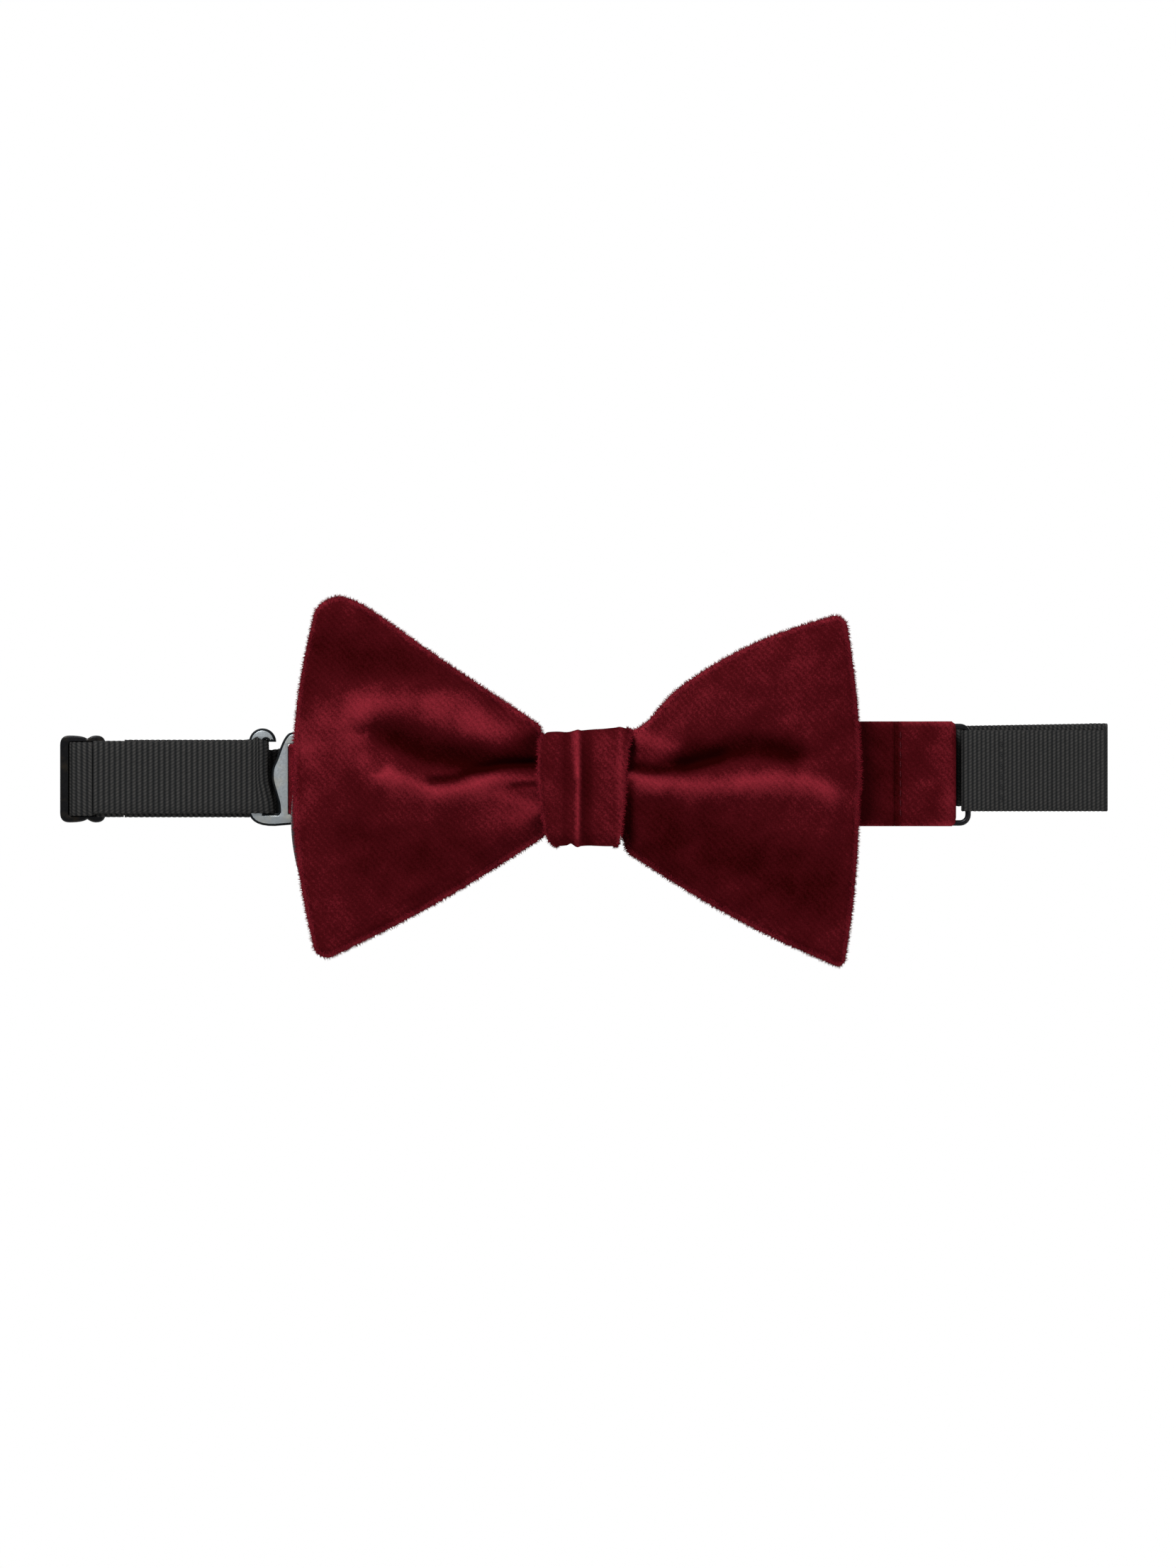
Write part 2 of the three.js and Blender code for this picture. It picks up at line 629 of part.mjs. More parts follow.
function buildWing(name, edge, side, peek) {
  const full = wingPlace(edge, side);
  const core = wingPlace(edge, side, interliningShare);
  const rear = wingPlace(edge, side, rearLayerShare, peek);
  add(`wing_${name}_face`, wingLayer(full, side, wingFaceY, faceThickness, [20, 16]), velvet());
  add(`wing_${name}_interlining`, wingLayer(core, side, wingCoreY, () => wingInterlining), interlining());
  add(`wing_${name}_back`, wingLayer(full, side, wingBackY, () => wingBack), velvet());
  add(`rear_layer_${name}`, wingLayer(rear, side, rearLayerY, () => rearLayer), lining());
}

// ---- Knot -------------------------------------------------------------------------------

/** A rounded sleeve round the bow's middle, drawn in Y and Z and run along X. */
function sleeve([x0, x1], [y0, y1], [z0, z1], wall, corner) {
  const frame = (path, inset) => {
    const radius = corner - inset;
    const [a0, a1, b0, b1] = [y0 + inset, y1 - inset, z0 + inset, z1 - inset];
    path.moveTo(a0 + radius, b0);
    path.lineTo(a1 - radius, b0);
    path.absarc(a1 - radius, b0 + radius, radius, -Math.PI / 2, 0, false);
    path.lineTo(a1, b1 - radius);
    path.absarc(a1 - radius, b1 - radius, radius, 0, Math.PI / 2, false);
    path.lineTo(a0 + radius, b1);
    path.absarc(a0 + radius, b1 - radius, radius, Math.PI / 2, Math.PI, false);
    path.lineTo(a0, b0 + radius);
    path.absarc(a0 + radius, b0 + radius, radius, Math.PI, 1.5 * Math.PI, false);
    return path;
  };
  const shape = frame(new THREE.Shape(), 0);
  shape.holes.push(frame(new THREE.Path(), wall));
  const geometry = new THREE.ExtrudeGeometry(shape, {
    depth: x1 - x0,
    bevelEnabled: false,
    curveSegments: 6,
  });
  const turned = new THREE.Matrix4().makeBasis(at3(0, 1, 0), at3(0, 0, 1), at3(1, 0, 0));
  geometry.applyMatrix4(turned);
  geometry.translate(x0, 0, 0);
  return geometry;
}

function at3(x, y, z) {
  return new THREE.Vector3(x, y, z);
}

function buildKnot() {
  const width = [knotLeft, knotRight];
  const depth = [knotFrontY, knotBackY];
  const height = [knotBottom, knotTop];
  const shrink = ([low, high], by) => [low + by, high - by];
  add('knot_wrap', sleeve(width, depth, height, knotVelvet, knotCorner), velvet());
  const inset = knotVelvet + gap;
  const innerCorner = knotCorner - inset;
  add(
    'knot_interlining',
    sleeve(shrink(width, gap), shrink(depth, inset), shrink(height, inset), knotInterlining, innerCorner),
    interlining(),
  );
  const clear = knotWall + gap / 4;
  const threadX = [-threadWidth, threadWidth];
  const threadY = [knotFrontY + clear, bandFrontY - gap / 2];
  const threadZ = shrink(height, clear);
  add('binding_thread', sleeve(threadX, threadY, threadZ, threadWidth, threadCorner), redThread());
  const backY = [knotBackY + threadGap, knotBackY + threadGap + stitchWidth / 2];
  const seamLow = knotBottom + knotCorner;
  add('knot_back_stitches', stitchLine(0, backY, seamLow, knotTop - knotCorner - seamLow), redThread());
}

// ---- The whole object -------------------------------------------------------------------

buildNeckband();
buildHookPlate();
buildRing();
buildSlider();
buildLeftStrap();
buildSliderRibbon();
buildRearRun();
buildRightStrap();
buildWing('left', leftEdge, -1, rearLayerPeek);
buildWing('right', rightEdge, 1, 0);
buildKnot();

export default model;
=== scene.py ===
"""Looks of a pre-tied velvet bow tie on an adjustable grosgrain strap.

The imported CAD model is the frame. Every piece is drawn in millimetres in that frame and stored in
metres with its object at the origin: X runs along the strap, +Z is up and the front faces -Y.
"""
import logging
import math
from dataclasses import dataclass, field
from enum import Enum
from typing import Any, Callable, Sequence

import bmesh
import bpy
import numpy as np
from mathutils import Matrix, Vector


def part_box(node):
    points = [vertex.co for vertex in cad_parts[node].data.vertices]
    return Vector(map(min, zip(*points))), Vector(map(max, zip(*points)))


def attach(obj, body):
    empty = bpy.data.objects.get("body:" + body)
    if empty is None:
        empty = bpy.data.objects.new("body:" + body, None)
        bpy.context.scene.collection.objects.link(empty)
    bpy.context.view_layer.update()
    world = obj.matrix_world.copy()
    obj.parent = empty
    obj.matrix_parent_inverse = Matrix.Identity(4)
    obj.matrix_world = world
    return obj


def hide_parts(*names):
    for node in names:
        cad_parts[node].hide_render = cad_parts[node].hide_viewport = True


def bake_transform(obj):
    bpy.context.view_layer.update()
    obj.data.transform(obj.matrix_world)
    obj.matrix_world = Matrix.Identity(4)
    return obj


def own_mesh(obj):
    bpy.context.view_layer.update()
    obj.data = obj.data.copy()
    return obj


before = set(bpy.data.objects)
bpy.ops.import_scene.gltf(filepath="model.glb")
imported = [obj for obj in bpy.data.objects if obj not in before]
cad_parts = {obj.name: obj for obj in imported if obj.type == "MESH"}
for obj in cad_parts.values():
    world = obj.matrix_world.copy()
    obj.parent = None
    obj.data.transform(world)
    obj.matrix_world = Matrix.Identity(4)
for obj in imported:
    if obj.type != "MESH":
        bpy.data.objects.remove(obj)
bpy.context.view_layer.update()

MM = 0.001
logging.basicConfig(level=logging.INFO, format="%(message)s")
log = logging.getLogger("bow_tie")

Points = Sequence[tuple[float, float]]


# ---- Frame and geometry helpers ---------------------------------------------------------------


def span(node: str) -> tuple[np.ndarray, np.ndarray]:
    """Lowest and highest corner of a CAD node, in millimetres."""
    low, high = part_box(node)
    return np.array(low) / MM, np.array(high) / MM


def smooth_path(points: Sequence[Sequence[float]], count: int) -> np.ndarray:
    """Draws a Catmull-Rom curve through a few points.

    Args:
        points: The points it passes through, with two or three numbers each.
        count: How many points to return.

    Returns:
        An array of count points, evenly spaced along the curve.
    """
    given = np.array(points, float)
    ends = (2 * given[0] - given[1], 2 * given[-1] - given[-2])
    knots = np.vstack([ends[0], given, ends[1]])
    steps = np.linspace(0, 1, 12, endpoint=False)[:, None]
    pieces = []
    for a, b, c, d in zip(knots, knots[1:], knots[2:], knots[3:]):
        linear = (c - a) * steps
        square = (2 * a - 5 * b + 4 * c - d) * steps**2
        cube = (3 * b - a - 3 * c + d) * steps**3
        pieces.append(b + 0.5 * (linear + square + cube))
    return resample(np.vstack(pieces + [given[-1:]]), count)


def resample(path: np.ndarray, count: int) -> np.ndarray:
    """Spaces count points evenly along a polyline."""
    lengths = np.concatenate([[0], np.cumsum(np.linalg.norm(np.diff(path, axis=0), axis=1))])
    wanted = np.linspace(0, lengths[-1], count)
    return np.stack([np.interp(wanted, lengths, path[:, k]) for k in range(path.shape[1])], axis=1)


def path_length(path: np.ndarray) -> float:
    """Length of a polyline."""
    return float(np.linalg.norm(np.diff(path, axis=0), axis=1).sum())


def arc(x: float, y: float, radius: float, start: float, end: float,
        count: int = 12) -> list[tuple[float, float]]:
    """Points on an arc about (x, y), from one angle to another in degrees."""
    angles = np.radians(np.linspace(start, end, count))
    return [(x + radius * math.cos(a), y + radius * math.sin(a)) for a in angles]


def corner(start: Sequence[float], through: Sequence[float], end: Sequence[float], count: int = 8) -> list:
    """Points on the rounded corner that leaves start towards through and arrives at end."""
    t = np.linspace(0, 1, count)[:, None]
    curve = (1 - t) ** 2 * np.array(start) + 2 * t * (1 - t) * np.array(through) + t**2 * np.array(end)
    return [tuple(point) for point in curve]


def smoothstep(value: np.ndarray, low: float, high: float) -> np.ndarray:
    """0 below low, 1 above high, and a smooth ramp between them."""
    t = np.clip((value - low) / (high - low), 0, 1)
    return t * t * (3 - 2 * t)


def lerp(a: Any, b: Any, t: Any) -> Any:
    """The value a share t of the way from a to b."""
    return a + (b - a) * t


def ripple(x: np.ndarray, z: np.ndarray, size: float, seed: int, waves: int = 9) -> np.ndarray:
    """A smooth uneven surface made of a few seeded waves.

    Args:
        x: Places across, in millimetres.
        z: Places up, in millimetres.
        size: Typical distance between its bumps, in millimetres.
        seed: Picks the waves.
        waves: How many waves are added up.

    Returns:
        A height between about -1 and 1 for each place.
    """
    draw = np.random.default_rng(seed)
    total = np.zeros_like(x)
    for _ in range(waves):
        angle, phase = draw.uniform(0, 2 * math.pi, 2)
        pitch = size * draw.uniform(0.7, 1.8)
        total += np.sin((x * math.cos(angle) + z * math.sin(angle)) * 2 * math.pi / pitch + phase)
    return total / math.sqrt(waves) / 1.5


def make_piece(name: str, points: np.ndarray, faces: Sequence, finish: "Finish", smooth: bool = True,
               uv: np.ndarray | None = None, **attributes: np.ndarray) -> bpy.types.Object:
    """Makes a mesh object.

    Args:
        name: The piece's name.
        points: Its points, in millimetres.
        faces: Its faces, as lists of point numbers.
        finish: The finish it wears.
        smooth: Whether its faces are shaded smooth.
        uv: A pair of texture coordinates for each point, in millimetres.
        attributes: Named numbers for each point, which the finish may read.

    Returns:
        The new object.
    """
    mesh = bpy.data.meshes.new(name)
    mesh.from_pydata((np.asarray(points) * MM).tolist(), [], [tuple(f) for f in faces])
    mesh.validate()
    mesh.polygons.foreach_set("use_smooth", [smooth] * len(mesh.polygons))
    for key, values in attributes.items():
        layer = mesh.attributes.new(key, "FLOAT", "POINT")
        layer.data.foreach_set("value", np.asarray(values, np.float32))
    if uv is not None:
        order = np.empty(len(mesh.loops), int)
        mesh.loops.foreach_get("vertex_index", order)
        layer = mesh.uv_layers.new(name="cloth")
        layer.data.foreach_set("uv", np.asarray(uv, np.float32)[order].ravel())
    piece = bpy.data.objects.new(name, mesh)
    bpy.context.scene.collection.objects.link(piece)
    mesh.materials.append(finish.material())
    return piece


def loft(rings: np.ndarray, cap: bool = True, closed: bool = False) -> tuple[np.ndarray, list]:
    """Joins rings of points into a surface.

    Args:
        rings: An array of rings, points and coordinates, with each ring going round once.
        cap: Whether the first and the last ring are closed with a face.
        closed: Whether the last ring joins the first one.

    Returns:
        The points and the faces.
    """
    count, size, _ = rings.shape
    faces = []
    for i in range(count if closed else count - 1):
        here, there = i * size, ((i + 1) % count) * size
        for j in range(size):
            k = (j + 1) % size
            faces.append((here + j, there + j, there + k, here + k))
    if cap and not closed:
        faces.append(tuple(range(size)))
        faces.append(tuple(range((count - 1) * size, count * size))[::-1])
    return rings.reshape(-1, 3), faces


def face_outwards(piece: bpy.types.Object) -> None:
    """Turns the faces of a closed mesh so that they point outwards."""
    mesh = bmesh.new()
    mesh.from_mesh(piece.data)
    bmesh.ops.remove_doubles(mesh, verts=mesh.verts, dist=1e-7)
    bmesh.ops.recalc_face_normals(mesh, faces=mesh.faces)
    mesh.to_mesh(piece.data)
    mesh.free()


def ride(body: str, *pieces: bpy.types.Object) -> None:
    """Sets each piece on a CAD body and reports it."""
    for piece in pieces:
        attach(piece, body)
        log.info("%s rides on %s, %d faces", piece.name, body, len(piece.data.polygons))


# ---- Finishes ---------------------------------------------------------------------------------


def linear(colour: str) -> tuple[float, float, float, float]:
    """Turns an sRGB hex colour into linear red, green, blue and alpha."""
    parts = [int(colour[i:i + 2], 16) / 255 for i in (1, 3, 5)]
    channels = [c / 12.92 if c <= 0.04045 else ((c + 0.055) / 1.055) ** 2.4 for c in parts]
    return (*channels, 1.0)


def add_node(tree: bpy.types.NodeTree, kind: str, settings: dict[str, Any] | None = None,
             inputs: dict[Any, Any] | None = None) -> bpy.types.Node:
    """Adds a node to a tree.

    Args:
        tree: The tree it goes into.
        kind: The node's type.
        settings: Its own properties by name.
        inputs: Values or sockets for its inputs, by name or number.

    Returns:
        The new node.
    """
    node = tree.nodes.new(kind)
    for key, value in (settings or {}).items():
        setattr(node, key, value)
    for key, value in (inputs or {}).items():
        if isinstance(value, bpy.types.NodeSocket):
            tree.links.new(value, node.inputs[key])
        else:
            node.inputs[key].default_value = value
    return node


@dataclass(frozen=True)
class Finish:
    """What every finish has: a name, a record slot and a way to build its material."""

    name: str
    slot: str

    def material(self) -> bpy.types.Material:
        """Returns the finish's material, built the first time it is asked for."""
        found = bpy.data.materials.get(self.name)
        if found:
            return found
        made = bpy.data.materials.new(self.name)
        made.use_nodes = True
        tree = made.node_tree
        shader = next(node for node in tree.nodes if node.type == "BSDF_PRINCIPLED")
        self.dress(tree, shader)
        return made

    def dress(self, tree: bpy.types.NodeTree, shader: bpy.types.Node) -> None:
        """Sets the shader's sockets and links its pattern."""
        raise NotImplementedError

    def on(self, *pieces: bpy.types.Object) -> None:
        """Puts the finish on CAD nodes or pieces."""
        for piece in pieces:
            piece.data.materials.clear()
            piece.data.materials.append(self.material())


def bump(tree: bpy.types.NodeTree, height: bpy.types.NodeSocket, depth_mm: float, strength: float,
         below: bpy.types.NodeSocket | None = None) -> bpy.types.NodeSocket:
    """Turns a height into a normal, on top of another normal where one is given."""
    inputs = {"Height": height, "Distance": depth_mm * MM, "Strength": strength}
    if below is not None:
        inputs["Normal"] = below
    return add_node(tree, "ShaderNodeBump", inputs=inputs).outputs["Normal"]


def mix_colour(tree: bpy.types.NodeTree, share: Any, first: Any, second: Any) -> bpy.types.NodeSocket:
    """Mixes two colours and returns the result."""
    mixed = add_node(tree, "ShaderNodeMix", {"data_type": "RGBA"}, {0: share, 6: first, 7: second})
    return mixed.outputs[2]


def bands(tree: bpy.types.NodeTree, place: bpy.types.NodeSocket, pitch_mm: float, turn: tuple,
          distortion: float = 0.0, unit: float = MM) -> bpy.types.NodeSocket:
    """Lines with a given pitch, as a factor.

    Args:
        tree: The material's tree.
        place: The coordinates that the lines follow.
        pitch_mm: Distance from one line to the next, in millimetres.
        turn: How the lines are turned, in degrees about each axis.
        distortion: How uneven they are.
        unit: Size of a millimetre in the coordinates.

    Returns:
        The factor, from 0 between the lines to 1 on them.
    """
    turned = add_node(tree, "ShaderNodeMapping", inputs={
        "Vector": place, "Rotation": tuple(math.radians(angle) for angle in turn)})
    scale = 2 * math.pi / (20 * pitch_mm * unit)
    wave = add_node(tree, "ShaderNodeTexWave", {"bands_direction": "X"}, {
        "Vector": turned.outputs[0], "Scale": scale, "Distortion": distortion,
        "Detail": 1.0, "Detail Scale": 1.4})
    return wave.outputs["Fac"]


@dataclass(frozen=True)
class Velvet(Finish):
    """Cotton velvet: a short dense pile on a twill back.

    Its colour runs from deep to lit by a per-point value that paints light and shade into the pile:
    painted highlight on crests and rims, painted shade in hollows and creases; on the band it also lightens
    where the pile lies the other way. The twill beneath shows as faint diagonal lines.
    """

    # deep, middle and lit are the pile's colour in painted shade, plain, and in painted highlight.
    deep: str = "#150101"
    middle: str = "#2c0508"
    lit: str = "#5e171f"
    sheen: str = "#a8202c"
    sheen_weight: float = 0.015
    twill_mm: float = 1.1
    pile_mm: float = 0.34  # the pile itself is finer and wouldn't show
    blotch_mm: float = 7.0

    def dress(self, tree: bpy.types.NodeTree, shader: bpy.types.Node) -> None:
        """Sets the velvet's colours from the painted light and shade at each point, with pile and twill as
        bump.
        """
        place = add_node(tree, "ShaderNodeTexCoord").outputs["Object"]
        nap = add_node(tree, "ShaderNodeAttribute", {"attribute_name": "nap"}).outputs["Fac"]
        blotch = add_node(tree, "ShaderNodeTexNoise", inputs={
            "Vector": place, "Scale": 1 / (self.blotch_mm * MM), "Detail": 3.0, "Roughness": 0.6})
        pile = add_node(tree, "ShaderNodeTexNoise", inputs={
            "Vector": place, "Scale": 1 / (self.pile_mm * MM), "Detail": 4.0, "Roughness": 0.75})
        twill = bands(tree, place, self.twill_mm, (0, 42, 0), 2.2)
        patch = add_node(tree, "ShaderNodeMapRange", inputs={
            "Value": blotch.outputs["Fac"], 1: 0.3, 2: 0.7, 3: -0.09, 4: 0.09})
        speck = add_node(tree, "ShaderNodeMapRange", inputs={
            "Value": pile.outputs["Fac"], 1: 0.3, 2: 0.7, 3: -0.18, 4: 0.18})
        line = add_node(tree, "ShaderNodeMapRange", inputs={"Value": twill, 3: -0.035, 4: 0.035})
        total = nap
        for part in (patch, speck, line):
            total = add_node(tree, "ShaderNodeMath", {"operation": "ADD"}, {
                0: total, 1: part.outputs["Result"]}).outputs[0]
        # The ramp runs from painted shade through the plain colour to painted highlight.
        ramp = add_node(tree, "ShaderNodeValToRGB", inputs={"Fac": total})
        stops = ramp.color_ramp.elements
        stops[0].position, stops[0].color = 0.0, linear(self.deep)
        stops[1].position, stops[1].color = 1.0, linear(self.lit)
        stops.new(0.45).color = linear(self.middle)
        tree.links.new(ramp.outputs["Color"], shader.inputs["Base Color"])
        soft = bump(tree, twill, 0.05, 0.5)
        tree.links.new(bump(tree, pile.outputs["Fac"], 0.16, 0.9, soft), shader.inputs["Normal"])
        shader.inputs["Roughness"].default_value = 0.92
        shader.inputs["Specular IOR Level"].default_value = 0.0
        shader.inputs["Sheen Weight"].default_value = self.sheen_weight
        shader.inputs["Sheen Roughness"].default_value = 0.42
        shader.inputs["Sheen Tint"].default_value = linear(self.sheen)


@dataclass(frozen=True)
class Canvas(Finish):
    """Plain woven cotton interlining or backing: matt, with its threads crossing square."""

    colour: str = "#cfc8b8"
    shade: str = "#a89f8c"
    thread_mm: float = 0.5

    def dress(self, tree: bpy.types.NodeTree, shader: bpy.types.Node) -> None:
        """Sets two crossing sets of threads as colour and bump."""
        place = add_node(tree, "ShaderNodeTexCoord").outputs["Object"]
        along = bands(tree, place, self.thread_mm, (0, 0, 0), 0.4)
        across = bands(tree, place, self.thread_mm, (0, 90, 0), 0.4)
        weave = add_node(tree, "ShaderNodeMath", {"operation": "MULTIPLY"}, {0: along, 1: across})
        uneven = add_node(tree, "ShaderNodeTexNoise", inputs={
            "Vector": place, "Scale": 260.0, "Detail": 4.0})
        share = add_node(tree, "ShaderNodeMath", {"operation": "MULTIPLY"}, {
            0: weave.outputs[0], 1: uneven.outputs["Fac"]})
        tree.links.new(mix_colour(tree, share.outputs[0], linear(self.shade), linear(self.colour)),
                       shader.inputs["Base Color"])
        tree.links.new(bump(tree, weave.outputs[0], 0.12, 0.8), shader.inputs["Normal"])
        shader.inputs["Roughness"].default_value = 0.9
        shader.inputs["Specular IOR Level"].default_value = 0.15


@dataclass(frozen=True)
class RibbedLining(Finish):
    """Ribbed cotton lining: dark, with raised cords whose catching of a little light is painted into their
    colour.
    """

    deep: str = "#12060a"
    top: str = "#2c131a"
    cord_mm: float = 1.2

    def dress(self, tree: bpy.types.NodeTree, shader: bpy.types.Node) -> None:
        """Sets the cords as bump and as colour that paints a highlight on them."""
        place = add_node(tree, "ShaderNodeTexCoord").outputs["Object"]
        cords = bands(tree, place, self.cord_mm, (0, 90, 0), 0.8)
        uneven = add_node(tree, "ShaderNodeTexNoise", inputs={
            "Vector": place, "Scale": 900.0, "Detail": 4.0})
        share = add_node(tree, "ShaderNodeMath", {"operation": "MULTIPLY"}, {
            0: cords, 1: uneven.outputs["Fac"]})
        tree.links.new(mix_colour(tree, share.outputs[0], linear(self.deep), linear(self.top)),
                       shader.inputs["Base Color"])
        fine = bump(tree, uneven.outputs["Fac"], 0.1, 0.6)
        tree.links.new(bump(tree, cords, 0.25, 1.0, fine), shader.inputs["Normal"])
        shader.inputs["Roughness"].default_value = 0.88
        shader.inputs["Specular IOR Level"].default_value = 0.12
        shader.inputs["Sheen Weight"].default_value = 0.08
        shader.inputs["Sheen Roughness"].default_value = 0.5


@dataclass(frozen=True)
class Grosgrain(Finish):
    """Polyester grosgrain: charcoal cords across the ribbon under a fine warp.

    Colour follows height on the cord: painted highlight on the cords' warm tops and painted shade in the
    blue-black gaps between them. The warp shows as fine slanting lines on each cord.
    """

    gap: str = "#030405"
    top: str = "#242322"
    twist_mm: float = 0.62

    def dress(self, tree: bpy.types.NodeTree, shader: bpy.types.Node) -> None:
        """Sets colour by height on the cord, painting highlight on the tops and shade in the gaps, with the
        twist as bump.
        """
        place = add_node(tree, "ShaderNodeUVMap", {"uv_map": "cloth"}).outputs["UV"]
        height = add_node(tree, "ShaderNodeAttribute", {"attribute_name": "rib"}).outputs["Fac"]
        twist = bands(tree, place, self.twist_mm, (0, 0, 62), 0.5, 1.0)
        uneven = add_node(tree, "ShaderNodeTexNoise", inputs={"Vector": place, "Scale": 1.1, "Detail": 5.0})
        spread = add_node(tree, "ShaderNodeMapRange", inputs={
            "Value": uneven.outputs["Fac"], 1: 0.3, 2: 0.7, 3: 0.72, 4: 1.12})
        strand = add_node(tree, "ShaderNodeMapRange", inputs={"Value": twist, 3: 0.4, 4: 1.05})
        # Painted shade in the gaps between the cords and painted highlight on their tops.
        share = add_node(tree, "ShaderNodeMath", {"operation": "POWER"}, {0: height, 1: 2.2}).outputs[0]
        for part in (spread, strand):
            share = add_node(tree, "ShaderNodeMath", {"operation": "MULTIPLY"}, {
                0: share, 1: part.outputs["Result"]}).outputs[0]
        tree.links.new(mix_colour(tree, share, linear(self.gap), linear(self.top)),
                       shader.inputs["Base Color"])
        fine = bump(tree, uneven.outputs["Fac"], 0.05, 0.5)
        tree.links.new(bump(tree, twist, 0.07, 0.8, fine), shader.inputs["Normal"])
        shader.inputs["Roughness"].default_value = 0.72
        shader.inputs["Specular IOR Level"].default_value = 0.08


@dataclass(frozen=True)
class Thread(Finish):
    """Spun polyester sewing thread: a soft gloss with its twist showing."""

    colour: str = "#380b12"
    shade: str = "#190305"
    twist_mm: float = 0.35

    def dress(self, tree: bpy.types.NodeTree, shader: bpy.types.Node) -> None:
        """Sets the twist as colour and bump."""
        place = add_node(tree, "ShaderNodeTexCoord").outputs["Object"]
        twist = bands(tree, place, self.twist_mm, (0, 55, 0), 0.3)
        tree.links.new(mix_colour(tree, twist, linear(self.shade), linear(self.colour)),
                       shader.inputs["Base Color"])
        tree.links.new(bump(tree, twist, 0.06, 0.7), shader.inputs["Normal"])
        shader.inputs["Roughness"].default_value = 0.75
        shader.inputs["Specular IOR Level"].default_value = 0.05


@dataclass(frozen=True)
class PlatedMetal(Finish):
    """Plated zinc or steel: a satin face with fine tumbling marks and slightly worn patches."""

    colour: str = "#7d8285"
    worn: str = "#8f8d86"
    roughness: float = 0.34
    mark_mm: float = 0.5

    def dress(self, tree: bpy.types.NodeTree, shader: bpy.types.Node) -> None:
        """Sets the plating's colour, its uneven gloss and its marks."""
        place = add_node(tree, "ShaderNodeTexCoord").outputs["Object"]
        patch = add_node(tree, "ShaderNodeTexNoise", inputs={"Vector": place, "Scale": 380.0, "Detail": 5.0})
        marks = add_node(tree, "ShaderNodeTexNoise", inputs={
            "Vector": place, "Scale": 1 / (self.mark_mm * MM), "Detail": 6.0, "Roughness": 0.7})
        worn = add_node(tree, "ShaderNodeMapRange", inputs={
            "Value": patch.outputs["Fac"], 1: 0.5, 2: 0.75, 3: 0.0, 4: 1.0})
        tree.links.new(mix_colour(tree, worn.outputs["Result"], linear(self.colour), linear(self.worn)),
                       shader.inputs["Base Color"])
        gloss = add_node(tree, "ShaderNodeMapRange", inputs={
            "Value": marks.outputs["Fac"], 1: 0.3, 2: 0.7,
            3: self.roughness - 0.07, 4: self.roughness + 0.1})
        tree.links.new(gloss.outputs["Result"], shader.inputs["Roughness"])
        tree.links.new(bump(tree, marks.outputs["Fac"], 0.02, 0.5), shader.inputs["Normal"])
        shader.inputs["Metallic"].default_value = 1.0


VELVET = Velvet("cotton velvet", "velvet")
PILE = Velvet("velvet pile ends", "velvet", deep="#32060b", middle="#400a11", lit="#5a121b")
LINING = RibbedLining("ribbed cotton lining", "rear_velvet")
INTERLINING = Canvas("cotton interlining", "interlining")
# Painted shade: the knot's interlining is coloured dark red so that where it shows in the wrap's side
# opening it reads as the shade inside.
SHADED_KNOT_LINING = Canvas("knot lining darkened as shade", "interlining", colour="#36090e", shade="#1f0407")
RED_THREAD = Thread("red sewing thread", "red_thread")
BLACK_THREAD = Thread("black sewing thread", "black_thread", colour="#262627", shade="#090a0b")
GROSGRAIN = Grosgrain("charcoal grosgrain", "grosgrain")
HOOK_FACE = PlatedMetal("satin gunmetal plate", "hook_metal", colour="#7a7f82", worn="#85857f")
HOOK_RIM = PlatedMetal("black plated edge", "hook_metal", colour="#121416", worn="#1f1f1e", roughness=0.42)
BLACK_NICKEL = PlatedMetal("black nickel casting", "slider_metal", colour="#171718", worn="#1f1d1b")
# Painted highlight: the face's warm patches stand in for the brownish highlight line along the slider's
# bars.
SLIDER_FACE = PlatedMetal("rubbed slider face", "slider_metal", colour="#141415", worn="#231f1a")
RING_WIRE = PlatedMetal("black plated wire", "ring_metal", colour="#141416", worn="#201e1c", roughness=0.38)


# ---- What repeats, as Geometry Nodes ----------------------------------------------------------


class Socket(Enum):
    """The kinds of input that a Geometry Nodes tree takes."""

    NUMBER = "NodeSocketFloat"
    WHOLE = "NodeSocketInt"
    PLACE = "NodeSocketVector"


